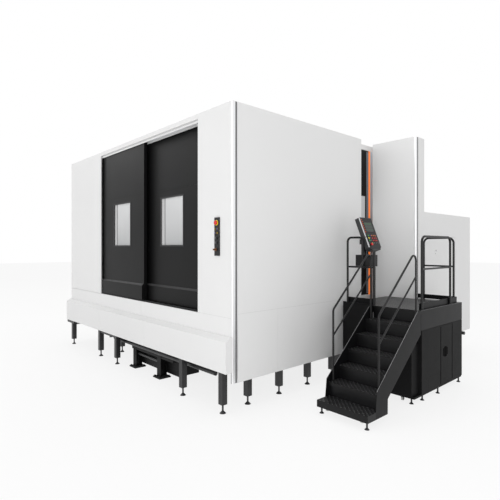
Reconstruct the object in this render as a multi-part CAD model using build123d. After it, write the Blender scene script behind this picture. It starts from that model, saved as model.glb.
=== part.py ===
from build123d import *
from math import acos, cos, degrees, radians, sin, tan
import os

os.makedirs("parts", exist_ok=True)

# Whole machine in millimetres: zero is on the floor, in the middle of its outline
SIDE_X = 3660          # half of the whole width
TOP_Z = 4140           # top of the covers
FRONT_Y = -2915        # outer face of the front covers
REAR_Y = 3025          # rear face of the box beside the machine
REAR_WALL_Y = 2900     # rear face of the tall covers
WALL_X = 2180          # outer face of the right wall
WALL_END_Y = 95        # rear end of the right wall, at the operator's recess
INNER_X = 1985         # outer face of the tall covers beside the magazine
UNDER_Z = 400          # lower edge of the side walls

# Sheet metal, tubes and running clearances
SHEET = 3
RETURN = 30            # depth of the folded edge of a cover
FRONT_RETURN = 16      # the same on the front, which the doors pass closely
SEAM = 4               # shadow gap between two covers
TUBE = 80              # square tube of the cover frame
GAP = 0.3              # clearance between a moving face and its seat
FIT = 0.08             # radial clearance of a shaft in its bore

# Front: skirt, corner moulding, door opening
SKIRT_OUT = 110
SKIRT_TOP = 1016
SKIRT_BOTTOM = 548
SKIRT_BEVEL = 50
CORNER = 29            # width of the corner moulding seen from the front
MOULD = 97             # width of the same moulding seen from the side
LOW_SEAM_Z = 1312      # seam across the right wall
DOOR_LEFT = -2004
DOOR_RIGHT = 1398
DOOR_BOTTOM = 1275
DOOR_TOP = TOP_Z - 90
CENTRE_X = (DOOR_LEFT + DOOR_RIGHT) / 2    # centre of the doors, the changer and the table

# Telescoping door leaves
LEAF_THICK = 60
LEAF_SETBACK = 50      # front covers to the left leaf
LEAF_APART = 55        # left leaf to the right leaf behind it
LEFT_LEAF_Y = FRONT_Y + LEAF_SETBACK
RIGHT_LEAF_Y = LEFT_LEAF_Y + LEAF_THICK + LEAF_APART
LEFT_LEAF = (DOOR_LEFT - 36, CENTRE_X + 11)
RIGHT_LEAF = (CENTRE_X - 127, DOOR_RIGHT + 32)
WINDOW_WIDE = 694
WINDOW_LOW = 2229
WINDOW_HIGH = 811
LEFT_WINDOW_IN = 545   # left edge of a leaf to its window
RIGHT_WINDOW_IN = 510
GLASS = 8
GROOVE = 15            # how deep the glass sits in its frame
DOOR_SEAM_Z = 3163
KICK_TOP = 1564
KICK_OUT = 30

# Inside: changer, table, column and spindle
CHANGER_Y = -1150
PALLET_OFFSET = 1000   # pallet centre to the changer's pivot
PALLET = 800
PALLET_Z = 1450
PALLET_THICK = 150
TABLE_LIFT = 2         # the pallet on the table stands this much over the fork
TABLE_Y = 950
BED_BOTTOM = 150
BED_TOP = 900
RAIL_HIGH = 60
SADDLE_TOP = 1180
COLUMN_Y = (1950, 2750)
COLUMN_WIDTH = 1000
COLUMN_TOP = TOP_Z - 340
SPINDLE_Z = 2200
SPINDLE_RADIUS = 120
NOSE_Y = 1730

# Operator's doorway, magazine tower and rear box
DOOR_PLANE = 1990
TOWER_Y = 615
TOWER_DEPTH = 315
TOWER_X = (2090, SIDE_X - 720)
REAR_BOX_TOP = 2818
REAR_BOX_BOTTOM = 476
DRUM_RADIUS = 760
DRUM_POTS = 12
DRUM_Z = 1640

# Control strip on the pillar
STRIP_X = (1817, 1919)
STRIP_Z = (2087, 2612)
STRIP_OUT = 22
STOP_Z = 2538
START_Z = 2330
RELEASE_Z = 2268
KEY_Z = 2173
LARGE_STEM = 15
SMALL_STEM = 13

# Stairs, platform and rails
STAIR_WIDTH = 770
STAIR_X = (SIDE_X - STAIR_WIDTH, SIDE_X)
RISER = 188
GOING = 222
TREADS = 6
FIRST_TREAD_Z = 178
DECK_Z = FIRST_TREAD_Z + RISER * TREADS
DECK_FRONT = -690
DECK_REAR = 740
DECK_LEFT = 2390
SECOND_NOSE_Y = DECK_FRONT - GOING * (TREADS - 1)
RAIL_TUBE = 17         # radius of the guard hoops' tube
MID_TUBE = 14          # the same for their middle rails
STAIR_TUBE = 14        # radius of the stairs' handrail
STAIR_MID = 12         # the same for its middle rail
RAIL_BEND = 90
HOOP_TOP = DECK_Z + 1054
HOOP_MID = DECK_Z + 584


def block(x0, x1, y0, y1, z0, z1):
    """Box given by its six faces."""
    return Pos((x0 + x1) / 2, (y0 + y1) / 2, (z0 + z1) / 2) * Box(x1 - x0, y1 - y0, z1 - z0)


def tray(x0, x1, y0, y1, z0, z1, back):
    """Sheet cover with folded edges, open toward the side named in back."""
    span = {"x": [x0, x1], "y": [y0, y1], "z": [z0, z1]}
    inner = {axis: [ends[0] + SHEET, ends[1] - SHEET] for axis, ends in span.items()}
    end = 1 if back[1] == "+" else 0
    inner[back[0]][end] = span[back[0]][end]
    return block(x0, x1, y0, y1, z0, z1) - block(*inner["x"], *inner["y"], *inner["z"])


def rod(x, y, z0, z1, radius):
    """Upright round bar."""
    return Pos(x, y, (z0 + z1) / 2) * Cylinder(radius, z1 - z0)


def bar_x(x0, x1, y, z, radius):
    """Round bar along the width."""
    return Pos((x0 + x1) / 2, y, z) * Rot(0, 90, 0) * Cylinder(radius, x1 - x0)


def bar_y(x, y0, y1, z, radius):
    """Round bar along the depth."""
    return Pos(x, (y0 + y1) / 2, z) * Rot(90, 0, 0) * Cylinder(radius, y1 - y0)


def turned_z(x, y, outline):
    """Body turned about an upright axis from radii and heights."""
    face = make_face(Polyline(*[(radius, 0, z) for radius, z in outline], close=True))
    return Pos(x, y, 0) * revolve(face, Axis.Z)


def turned_y(x, z, outline):
    """Body turned about an axis along the depth from radii and depths."""
    face = make_face(Polyline(*[(radius, y, 0) for radius, y in outline], close=True))
    return Pos(x, 0, z) * revolve(face, Axis.Y)


def bent_tube(points, radius=RAIL_TUBE, bend=RAIL_BEND):
    """Round tube through the points: straight lengths joined by true bends."""
    points = [Vector(*point) for point in points]
    start = points[0]
    pieces = []
    for before, corner, after in zip(points, points[1:], points[2:]):
        into = (corner - before).normalized()
        out = (after - corner).normalized()
        angle = acos(into.dot(out))
        cut = bend * tan(angle / 2)
        arc_start = corner - into * cut
        section = Plane(origin=start, z_dir=into) * Circle(radius)
        pieces.append(extrude(section, amount=(arc_start - start).length))
        inward = (out - into * into.dot(out)).normalized()
        axis = Axis(arc_start + inward * bend, into.cross(inward))
        pieces.append(revolve(Plane(origin=arc_start, z_dir=into) * Circle(radius), axis, degrees(angle)))
        start = corner + out * cut
    last = points[-1] - start
    pieces.append(extrude(Plane(origin=start, z_dir=last.normalized()) * Circle(radius), amount=last.length))
    tube = pieces[0]
    for piece in pieces[1:]:
        tube += piece
    return tube


def profile_x(points, x0, x1):
    """Outline in depth and height, drawn out along the width."""
    face = make_face(Polyline(*[(x0, y, z) for y, z in points], close=True))
    return extrude(face, amount=x1 - x0, dir=(1, 0, 0))


def prism(x, y, z0, z1, radius, sides=6):
    """Upright bar with flat sides, such as a nut."""
    return Pos(x, y, z0) * extrude(RegularPolygon(radius, sides), amount=z1 - z0)


def foot(x, y, top, pad=45):
    """Levelling foot: a faceted pad on the floor with its spindle."""
    cone = Pos(x, y, 0) * extrude(RegularPolygon(pad, 12), amount=28, taper=42)
    return cone + prism(x, y, 10, top, 13)


def save(name, shapes):
    """Write one node of the part."""
    shapes = shapes if isinstance(shapes, (list, tuple)) else [shapes]
    flat = []
    for shape in shapes:
        flat.extend(shape.solids())
    body = flat[0] if len(flat) == 1 else Compound(children=flat)
    export_step(body, f"parts/{name}.step")
    print(name, len(flat), "solids")


# Cast bed: one arm under the table, one across it under the column, each with a trough
BED_HALF = 480         # half width of the arm under the table
BED_REACH = 1700       # where the two arms meet, and the front end
CROSS_HALF = 1550      # half width of the arm under the column
CROSS_REAR = COLUMN_Y[1] + 30
TROUGH_HALF = 250      # half width of the trough between the table's rails
TROUGH_DEEP = 180
END_WALL = 40          # what the troughs leave standing at their ends
CROSS_WALL = 50
CROSS_RIM = 130        # edge of the column to the trough under it
CROSS_DEEP = 150
table_bed = block(CENTRE_X - BED_HALF, CENTRE_X + BED_HALF, -BED_REACH, BED_REACH, BED_BOTTOM, BED_TOP)
table_bed -= block(CENTRE_X - TROUGH_HALF, CENTRE_X + TROUGH_HALF, -BED_REACH + END_WALL, BED_REACH - END_WALL,
                   BED_TOP - TROUGH_DEEP, BED_TOP)
cross_bed = block(CENTRE_X - CROSS_HALF, CENTRE_X + CROSS_HALF, BED_REACH, CROSS_REAR, BED_BOTTOM, BED_TOP)
cross_in = (CENTRE_X - CROSS_HALF + CROSS_WALL, CENTRE_X + CROSS_HALF - CROSS_WALL)
cross_bed -= block(*cross_in, COLUMN_Y[0] + CROSS_RIM, COLUMN_Y[1] - CROSS_RIM, BED_TOP - CROSS_DEEP, BED_TOP)
save("machine_bed", table_bed + cross_bed)

# Hardened guide rails that the saddle and the column run on
RAIL_HALF = 35
RAIL_INSET = 50        # edge of the bed or of the column to a rail
TABLE_GAUGE = 365      # half the distance between the table's rails
rail_z = (BED_TOP, BED_TOP + RAIL_HIGH)
table_rails = []
for side in (-1, 1):
    x = CENTRE_X + side * TABLE_GAUGE
    rail_y = (-BED_REACH + RAIL_INSET, BED_REACH - RAIL_INSET)
    table_rails.append(block(x - RAIL_HALF, x + RAIL_HALF, *rail_y, *rail_z))
column_rails = []
for y in (COLUMN_Y[0] + RAIL_INSET, COLUMN_Y[1] - RAIL_INSET):
    column_rails.append(block(*cross_in, y - RAIL_HALF, y + RAIL_HALF, *rail_z))
save("guide_rails", table_rails + column_rails)

# Saddle with its keel in the trough; it carries the turntable between changer and spindle
RUN_Z = BED_TOP + RAIL_HIGH + GAP
SADDLE_HALF = 450
KEEL_HALF = 240        # half width of the keel, which runs inside the trough
KEEL_REACH = 430
saddle = block(CENTRE_X - SADDLE_HALF, CENTRE_X + SADDLE_HALF, TABLE_Y - SADDLE_HALF, TABLE_Y + SADDLE_HALF,
               RUN_Z, SADDLE_TOP)
saddle = chamfer(saddle.edges().filter_by(Axis.Z), 60)
saddle += block(CENTRE_X - KEEL_HALF, CENTRE_X + KEEL_HALF, TABLE_Y - KEEL_REACH, TABLE_Y + KEEL_REACH,
                BED_TOP - 60, SADDLE_TOP - 80)
save("table_saddle", saddle)

# Turntable, turned in steps up to its clamping disc
TURNTABLE = 300        # radius of the turntable
CLAMP_DISC = 230       # radius of its clamping disc
disc_z = PALLET_Z - 60
seat_z, clamp_z = SADDLE_TOP + GAP, PALLET_Z + TABLE_LIFT
turntable = turned_z(CENTRE_X, TABLE_Y, [(0, seat_z), (TURNTABLE, seat_z), (TURNTABLE, disc_z),
                                         (CLAMP_DISC, disc_z), (CLAMP_DISC, clamp_z), (0, clamp_z)])
save("rotary_table", turntable)


PALLET_CORNER = 50
SLOT_PITCH = 0.175     # distance between two T-slots as a share of the pallet's width
SLOT_HALF = 11
SLOT_FOOT_HALF = 19
SLOT_DEEP = 40
SLOT_FOOT_HIGH = 16


def pallet(y, bottom):
    """Square pallet with cut corners and T-slots across its top."""
    half = PALLET / 2
    top = bottom + PALLET_THICK
    body = block(CENTRE_X - half, CENTRE_X + half, y - half, y + half, bottom, top)
    body = chamfer(body.edges().filter_by(Axis.Z), PALLET_CORNER)
    slot_floor = top - SLOT_DEEP
    for step in (-2, -1, 0, 1, 2):
        x = CENTRE_X + step * PALLET * SLOT_PITCH
        body -= block(x - SLOT_HALF, x + SLOT_HALF, y - half, y + half, slot_floor, top)
        body -= block(x - SLOT_FOOT_HALF, x + SLOT_FOOT_HALF, y - half, y + half,
                      slot_floor, slot_floor + SLOT_FOOT_HIGH)
    return body


save("machining_pallet", pallet(TABLE_Y, PALLET_Z + TABLE_LIFT))
save("setup_pallet", pallet(CHANGER_Y - PALLET_OFFSET, PALLET_Z))

# Pallet changer: turned pedestal, fork on a journal above it, dividing guard on the fork
HUB = PALLET_Z - 160   # where the fork's journal sits on the pedestal
pedestal = turned_z(CENTRE_X, CHANGER_Y, [(0, BED_TOP), (300, BED_TOP), (300, BED_TOP + 40), (260, BED_TOP + 40),
                                          (230, BED_TOP + 120), (230, HUB), (0, HUB)])
save("changer_base", pedestal)
PRONG_IN = 350         # pivot to the middle of a prong
PRONG_HALF = 38
reach = PALLET_OFFSET + PALLET / 2 - 30
fork = block(CENTRE_X - 400, CENTRE_X + 400, CHANGER_Y - 260, CHANGER_Y + 260, PALLET_Z - 150, PALLET_Z)
for side in (-1, 1):
    x = CENTRE_X + side * PRONG_IN
    fork += block(x - PRONG_HALF, x + PRONG_HALF, CHANGER_Y - reach, CHANGER_Y + reach,
                  PALLET_Z - 110, PALLET_Z)
fork += rod(CENTRE_X, CHANGER_Y, HUB + GAP, PALLET_Z - 100, 200)
GUARD_HALF = 1430
GUARD_THICK = 50
guard_top = TOP_Z - 690
guard_y = (CHANGER_Y - GUARD_THICK / 2, CHANGER_Y + GUARD_THICK / 2)
fork += block(CENTRE_X - GUARD_HALF, CENTRE_X + GUARD_HALF, *guard_y, PALLET_Z, guard_top)
fork -= block(CENTRE_X - GUARD_HALF + 60, CENTRE_X + GUARD_HALF - 60, guard_y[0], guard_y[0] + 20,
              PALLET_Z + 60, guard_top - 60)
save("changer_fork", fork)

# Column that travels sideways: a base, a tapered tower with a window, and the head's guides
front, rear = COLUMN_Y
left, right = CENTRE_X - COLUMN_WIDTH / 2, CENTRE_X + COLUMN_WIDTH / 2
base_top = BED_TOP + 260
COLUMN_FACE = 40       # front of the base to the front of the tower on it
COLUMN_CHEEK = 200     # width of the tower beside its window
GUIDE_OUT = 10         # how far the head's guides stand in front of the base
GUIDE_HALF = 30
GUIDE_GAUGE = 380      # half the distance between the guides
column_side = [(front + COLUMN_FACE, base_top), (rear - 60, base_top),
               (rear - 200, COLUMN_TOP), (front + COLUMN_FACE, COLUMN_TOP)]
column = block(left - 60, right + 60, front, rear, RUN_Z, base_top) + profile_x(column_side, left, right)
column -= block(left + COLUMN_CHEEK, right - COLUMN_CHEEK, front, front + 420, base_top + 140, COLUMN_TOP - 160)
for side in (-1, 1):
    x = CENTRE_X + side * GUIDE_GAUGE
    column += block(x - GUIDE_HALF, x + GUIDE_HALF, front - GUIDE_OUT, front + COLUMN_FACE,
                    base_top + 40, COLUMN_TOP - 60)
save("column", column)

# Spindle head on those guides, with a turned nose and the bore for the spindle
def about_spindle(half_x, low_y, high_y, half_z):
    """Box centred on the spindle's axis between two depths."""
    return block(CENTRE_X - half_x, CENTRE_X + half_x, low_y, high_y, SPINDLE_Z - half_z, SPINDLE_Z + half_z)


back_y = front - GUIDE_OUT - GAP
bore_end = front - 60
ring_y = (NOSE_Y + 20, NOSE_Y + 60)
head = chamfer(about_spindle(450, front - 110, back_y, 420).edges().filter_by(Axis.Y), 60)
head += about_spindle(280, ring_y[1], bore_end, 300)
head += turned_y(CENTRE_X, SPINDLE_Z, [(0, ring_y[0]), (180, ring_y[0]), (200, ring_y[1]), (0, ring_y[1])])
head += about_spindle(190, bore_end, front + 380, 260)
head -= bar_y(CENTRE_X, NOSE_Y, bore_end, SPINDLE_Z, SPINDLE_RADIUS)
save("spindle_head", head)

# Spindle turned with its flange, tapered bore and two drive keys
shaft = SPINDLE_RADIUS - FIT
FLANGE_RADIUS = 90
TAPER = (35, 22)       # radius of the tapered bore at its mouth and at its end
KEY_HALF = 12
mouth_y, flange_y, taper_end = NOSE_Y - 50, NOSE_Y - 20, NOSE_Y + 30
shaft_end = bore_end - GAP
spindle_side = [(TAPER[0], mouth_y), (FLANGE_RADIUS, mouth_y), (FLANGE_RADIUS, flange_y), (shaft, flange_y),
                (shaft, shaft_end), (0, shaft_end), (0, taper_end), (TAPER[1], taper_end)]
spindle = turned_y(CENTRE_X, SPINDLE_Z, spindle_side)
for side in (-1, 1):
    x = CENTRE_X + side * 70
    spindle += block(x - KEY_HALF, x + KEY_HALF, mouth_y - KEY_HALF, mouth_y,
                     SPINDLE_Z - KEY_HALF, SPINDLE_Z + KEY_HALF)
save("spindle", spindle)

# Bent skirt along the front in three lengths, with closed ends and a bevelled top
skirt_y = FRONT_Y - SKIRT_OUT
lip = 60
bend_y = FRONT_Y - 30
outer = [(FRONT_Y, SKIRT_TOP), (bend_y, SKIRT_TOP), (skirt_y, SKIRT_TOP - SKIRT_BEVEL), (skirt_y, SKIRT_BOTTOM)]
outline = outer + [(skirt_y + lip, SKIRT_BOTTOM), (skirt_y + lip, SKIRT_BOTTOM + SHEET),
                   (skirt_y + SHEET, SKIRT_BOTTOM + SHEET), (skirt_y + SHEET, SKIRT_TOP - SKIRT_BEVEL - 2),
                   (bend_y - 1, SKIRT_TOP - SHEET), (FRONT_Y, SKIRT_TOP - SHEET)]
skirt = []
seams = [-SIDE_X, -SIDE_X / 2 + 10, 0, WALL_X]
for x0, x1 in zip(seams, seams[1:]):
    left, right = x0 + SEAM / 2, x1 - SEAM / 2
    length = profile_x(outline, left, right)
    for end in (left, right - SHEET):
        length += profile_x(outer + [(FRONT_Y, SKIRT_BOTTOM)], end, end + SHEET)
    skirt.append(length)
save("front_skirt", skirt)

# Sill panels below the doors and the header above them
frame_y = FRONT_Y + FRONT_RETURN
sill_top = DOOR_BOTTOM - 16
surround = []
for x0, x1 in ((-SIDE_X, DOOR_LEFT), (DOOR_LEFT, CENTRE_X), (CENTRE_X, WALL_X - CORNER)):
    surround.append(tray(x0 + SEAM / 2, x1 - SEAM / 2, FRONT_Y, frame_y, SKIRT_BOTTOM + 6, sill_top, "y+"))
surround.append(tray(DOOR_LEFT + SEAM / 2, DOOR_RIGHT - SEAM / 2, FRONT_Y, frame_y, DOOR_TOP + 16, TOP_Z, "y+"))
save("door_surround", surround)

# Cover in front of the parked doors, and the pillar beside the opening, cut out behind the switches
side_bottom = sill_top + SEAM
save("left_cabinet_cover", tray(-SIDE_X, DOOR_LEFT - SEAM / 2, FRONT_Y, frame_y, side_bottom, TOP_Z, "y+"))
pillar = tray(DOOR_RIGHT + SEAM / 2, WALL_X - CORNER - 2, FRONT_Y, frame_y, side_bottom, TOP_Z, "y+")
pillar -= block(STRIP_X[0] + 24, STRIP_X[1] - 24, FRONT_Y, FRONT_Y + SHEET, STRIP_Z[0] + 30, STRIP_Z[1] - 30)
save("pillar_cover", pillar)


def moulding(x, y, z0, z1):
    """Aluminium corner strip with a rounded edge and a sunk channel beside it."""
    body = block(x - CORNER, x, y, y + MOULD, z0, z1)
    outer_edge = body.edges().filter_by(Axis.Z).group_by(Axis.X)[-1].sort_by(Axis.Y)[0]
    body = fillet(outer_edge, CORNER / 2)
    return body - block(x - 9, x, y + MOULD - 45, y + MOULD - 11, z0, z1)


save("corner_trims", [moulding(WALL_X, FRONT_Y, UNDER_Z, TOP_Z),
                      moulding(TOWER_X[1], TOWER_Y, REAR_BOX_BOTTOM, TOP_Z)])

# Right wall: one tall cover, three low ones below its seam, and the return into the recess
wall_y = [FRONT_Y + MOULD, -2051, -682, WALL_END_Y]
right_wall = [tray(WALL_X - RETURN, WALL_X, wall_y[0] + 1, WALL_END_Y, LOW_SEAM_Z + SEAM / 2, TOP_Z, "x-")]
for y0, y1 in zip(wall_y, wall_y[1:]):
    right_wall.append(tray(WALL_X - RETURN, WALL_X, y0 + 1, y1 - SEAM / 2, UNDER_Z, LOW_SEAM_Z - SEAM / 2, "x-"))
right_wall.append(tray(INNER_X + 20, WALL_X - RETURN, WALL_END_Y - RETURN, WALL_END_Y, UNDER_Z, TOP_Z, "y-"))
save("right_wall", right_wall)

# Left, rear and inner right walls of the tall covers, in panels
rear_in = REAR_WALL_Y - RETURN
left_wall = []
for y0, y1 in ((frame_y, -1500), (-1500, 0), (0, 1450), (1450, rear_in)):
    left_wall.append(tray(-SIDE_X, -SIDE_X + RETURN, y0 + 1, y1 - SEAM / 2, UNDER_Z, TOP_Z, "x+"))
save("left_wall", left_wall)
tower_rear = TOWER_Y + TOWER_DEPTH
rear_wall = []
for x0, x1 in ((-SIDE_X, -1800), (-1800, 0), (0, INNER_X)):
    rear_wall.append(tray(x0 + SEAM, x1 - SEAM, rear_in, REAR_WALL_Y, UNDER_Z, TOP_Z, "y-"))
rear_wall.append(tray(INNER_X - RETURN, INNER_X, tower_rear, rear_in - 1, UNDER_Z, TOP_Z, "x-"))
save("rear_wall", rear_wall)

# Roof sheets between the walls, the wide ones over the part in front of the recess
roof_z = TOP_Z - SHEET
roof_x = -SIDE_X + RETURN + 2
step_y = WALL_END_Y - RETURN
roof_seams = (-1398, 1502)
roof = []
for x1, y0, y1 in ((WALL_X, frame_y, roof_seams[0]), (WALL_X, roof_seams[0], step_y),
                   (INNER_X, step_y, roof_seams[1]), (INNER_X, roof_seams[1], rear_in)):
    roof.append(block(roof_x, x1 - RETURN - 2, y0 + 2, y1 - 2, roof_z, TOP_Z))
save("roof_sheets", roof)

# Square-tube frame that carries the covers; the depth before door_room is kept for the doors
frame = []
x_in, x_out, x_mid = -SIDE_X + RETURN, WALL_X - RETURN, INNER_X - RETURN
door_room = RIGHT_LEAF_Y + LEAF_THICK + 40
low_z = UNDER_Z + 10
for z0 in (low_z, roof_z - TUBE):
    z1 = z0 + TUBE
    frame += [block(x_in, x_in + TUBE, door_room, rear_in, z0, z1),
              block(x_out - TUBE, x_out, door_room, step_y, z0, z1),
              block(x_mid - TUBE, x_mid, WALL_END_Y + 6, rear_in, z0, z1),
              block(x_in + TUBE, x_out - TUBE, door_room, door_room + TUBE, z0, z1),
              block(x_in + TUBE, x_mid - TUBE, rear_in - TUBE, rear_in, z0, z1)]
frame.append(block(x_in + TUBE, x_out - TUBE, step_y - TUBE, step_y, roof_z - TUBE, roof_z))
posts = [(x_in, door_room), (x_out - TUBE, door_room), (x_in, -30), (x_out - TUBE, step_y - TUBE),
         (x_in, rear_in - TUBE), (x_mid - TUBE, rear_in - TUBE), (x_mid - TUBE, tower_rear + 100),
         (x_in, -1540), (x_out - TUBE, -1300)]
for x, y in posts:
    frame.append(block(x, x + TUBE, y, y + TUBE, low_z + TUBE, roof_z - TUBE))
head_z = roof_z - 60
beam_z = DOOR_BOTTOM - 100
for y0, y1, z0, z1 in ((frame_y, frame_y + TUBE, head_z, roof_z), (frame_y, door_room, beam_z, sill_top),
                       (frame_y, frame_y + TUBE, SKIRT_BOTTOM, SKIRT_BOTTOM + TUBE)):
    frame.append(block(x_in, x_out - 30, y0, y1, z0, z1))
for x in (x_in, x_out - TUBE - 30):
    frame.append(block(x, x + TUBE, frame_y + TUBE, door_room, head_z, roof_z))
    frame.append(block(x, x + TUBE, frame_y, frame_y + TUBE, SKIRT_BOTTOM + TUBE, beam_z))
save("cover_frame", frame)

# Telescoping door leaves and the panes held in their window grooves
def window_box(ends, inset, low_y, high_y, grow=0):
    """Space of a leaf's window between two depths, grown all round."""
    x = ends[0] + inset
    return block(x - grow, x + WINDOW_WIDE + grow, low_y, high_y,
                 WINDOW_LOW - grow, WINDOW_LOW + WINDOW_HIGH + grow)


def door_leaf(ends, face_y, inset):
    """Folded leaf with stiles, a framed window, a seam and a bevelled kick plate."""
    x0, x1 = ends
    back_y = face_y + LEAF_THICK
    glass_y = face_y + 18
    leaf = tray(x0, x1, face_y, back_y, DOOR_BOTTOM, DOOR_TOP, "y+")
    leaf += window_box(ends, inset, face_y, face_y + 34, GROOVE + 25)
    leaf -= window_box(ends, inset, face_y, back_y)
    leaf -= window_box(ends, inset, glass_y, glass_y + GLASS, GROOVE)
    leaf -= block(x0, x1, face_y, face_y + 2, DOOR_SEAM_Z - 2, DOOR_SEAM_Z + 2)
    for stile in (x0 + 20, x1 - 60):
        leaf += block(stile, stile + 40, face_y + SHEET, back_y - 5, DOOR_BOTTOM + SHEET, DOOR_TOP - SHEET)
    out_y = face_y - KICK_OUT
    kick = [(face_y, DOOR_BOTTOM + 4), (out_y, DOOR_BOTTOM + 4), (out_y, KICK_TOP - KICK_OUT), (face_y, KICK_TOP)]
    return leaf + profile_x(kick, x0 + 40, x1 - 20)


def door_window(ends, face_y, inset):
    """Pane that fills the groove of the leaf."""
    glass_y = face_y + 18
    return window_box(ends, inset, glass_y, glass_y + GLASS, GROOVE)


for side_name, ends, face_y, inset in (("left", LEFT_LEAF, LEFT_LEAF_Y, LEFT_WINDOW_IN),
                                       ("right", RIGHT_LEAF, RIGHT_LEAF_Y, RIGHT_WINDOW_IN)):
    save(f"{side_name}_door_leaf", door_leaf(ends, face_y, inset))
    save(f"{side_name}_door_window", door_window(ends, face_y, inset))

# Door tracks: a base with a rail below each leaf, and a guide plate with ribs above them
track_ends = (x_in, x_out - 80)
tracks = [block(*track_ends, frame_y + 2, door_room, sill_top, sill_top + 4)]
for face_y in (LEFT_LEAF_Y, RIGHT_LEAF_Y):
    middle = face_y + LEAF_THICK / 2
    tracks.append(block(*track_ends, middle - 12, middle + 12, sill_top + 4, DOOR_BOTTOM - GAP))
guide = block(*track_ends, frame_y + 2, door_room, head_z - 6, head_z)
between = LEFT_LEAF_Y + LEAF_THICK + LEAF_APART / 2
for y in (LEFT_LEAF_Y - 12, between, RIGHT_LEAF_Y + LEAF_THICK + 12):
    guide += block(*track_ends, y - 4, y + 4, DOOR_TOP - 22, head_z - 6)
tracks.append(guide)
save("door_tracks", tracks)

# Legs under the covers: square tubes with a top plate, some with a bracket or a beam
LEG = 85
LEG_FOOT = 118         # lower end of the tubes
front_legs = [(-3425, 25), (-1956, 16), (-1166, 35), (1110, 63), (WALL_X - 130, 56)]
side_legs = [-2500, -1866, -1208, -565]
left_legs = [-2000, -800, 600, 2200]
leg_tops = {(x, FRONT_Y - back): SKIRT_BOTTOM for x, back in front_legs}
leg_tops.update({(WALL_X - 158, y): low_z for y in side_legs})
leg_tops.update({(-SIDE_X + 100, y): low_z for y in left_legs})
leg_tops[(INNER_X - 90, REAR_WALL_Y - 300)] = low_z
block_leg = (-1979, -2462)
leg_tops[block_leg] = low_z
legs = []
for (x, y), top in leg_tops.items():
    leg = block(x - LEG / 2, x + LEG / 2, y - LEG / 2, y + LEG / 2, LEG_FOOT, top)
    legs.append(leg + block(x - 54, x + 54, y - 44, y + 54, top - 12, top))
last_leg = len(front_legs) + len(side_legs) - 1
x, y = WALL_X - 158, side_legs[-1]
legs[last_leg] += block(x - LEG / 2, x + LEG / 2, y, WALL_END_Y, LEG_FOOT, UNDER_Z)
bracket_y = (FRONT_Y - 95, FRONT_Y + 15)
bracket_x = front_legs[0][0]
legs[0] += block(bracket_x - 225, bracket_x + 172, *bracket_y, SKIRT_BOTTOM - 60, SKIRT_BOTTOM)
pair = legs[1] + legs[2]
pair += block(front_legs[1][0], front_legs[2][0], FRONT_Y - 45, bracket_y[1], SKIRT_BOTTOM - 70, SKIRT_BOTTOM)
x, y = block_leg
legs[-1] += block(x - 41, x + 41, y - 113, y + 42, UNDER_Z, low_z)
save("cover_legs", [legs[0], pair] + legs[3:])

# Bed pads and levelling feet, one under every leg, and those of the platform and the rear box
PAD_HALF = 110
PAD_HIGH = 60
pads = []
under_table = [(CENTRE_X + dx, y) for dx in (-400, 400) for y in (-1500, -300, 900)]
under_column = [(CENTRE_X + dx, y) for dx in (-1400, 0, 1400) for y in (1900, 2650)]
for x, y in under_table + under_column:
    pad = block(x - PAD_HALF, x + PAD_HALF, y - PAD_HALF, y + PAD_HALF, 0, PAD_HIGH)
    pads.append(pad + block(x - 50, x + 50, y - 50, y + 50, PAD_HIGH, BED_BOTTOM))
feet = [foot(x, y, LEG_FOOT) for x, y in leg_tops]
STAIR_FOOT = 32        # radius of the small pads under the stairs
stair_l, stair_r = STAIR_X
under_stairs = [(stair_r - 37, -2003), (stair_l + 41, -1992)]
under_platform = [(stair_r - 87, -793), (stair_r - 54, -539), (stair_r - 32, -82), (stair_r - 45, 715),
                  (stair_l + 85, 715), (stair_l + 85, -793)]
feet += [foot(x, y, FIRST_TREAD_Z - 90, STAIR_FOOT) for x, y in under_stairs]
feet += [foot(x, y, FIRST_TREAD_Z - 88, STAIR_FOOT) for x, y in under_platform]
for x in (TOWER_X[0] + 110, TOWER_X[1] - 190):
    for y in (tower_rear + 120, REAR_Y - 125):
        post = block(x - 30, x + 30, y - 30, y + 30, LEG_FOOT - 8, REAR_BOX_BOTTOM)
        feet.append(foot(x, y, LEG_FOOT) + post)

# Black set-up station base below the doors: two H-posts on bolted plates and box beams
POST_HALF = 60
FLANGE = 10
STATION_TOP = 470
post_at = [(-750, -2745), (121, -2751)]
posts = []
for x, y in post_at:
    post = block(x - POST_HALF, x + POST_HALF, y - POST_HALF, y + POST_HALF, 20, STATION_TOP)
    for side in (-1, 1):
        web = sorted((x + side * 5, x + side * POST_HALF))
        post -= block(*web, y - POST_HALF + FLANGE, y + POST_HALF - FLANGE, 20, STATION_TOP)
    post += block(x - PAD_HALF, x + PAD_HALF, y - PAD_HALF, y + PAD_HALF, 0, 20)
    for dx in (-85, 85):
        for dy in (-85, 85):
            post += prism(x + dx, y + dy, 20, 36, 16)
    posts.append(post)
base_x = (post_at[0][0] - 110, 554)
low_beam_z = (80, 230)
beam_y = (-2690, -2526)
station = posts[0] + posts[1] + block(*base_x, *beam_y, *low_beam_z)
station += block(*base_x, -2803, beam_y[0], 330, STATION_TOP)
station += block(*base_x, *beam_y, low_beam_z[1], UNDER_Z)
for x0, x1 in ((base_x[1] - 154, base_x[1]), (base_x[0], base_x[0] + 160)):
    station += block(x0, x1, beam_y[1], -2290, *low_beam_z)
station += block(*base_x, beam_y[1], -1700, UNDER_Z - 20, UNDER_Z + 40)
save("setup_base", station)
pipes = [bar_x(-1500, 1734, FRONT_Y + 73, 430, 31),
         bar_x(post_at[0][0] + 5, post_at[1][0] - 5, -2748, 250, 25)]

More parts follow.
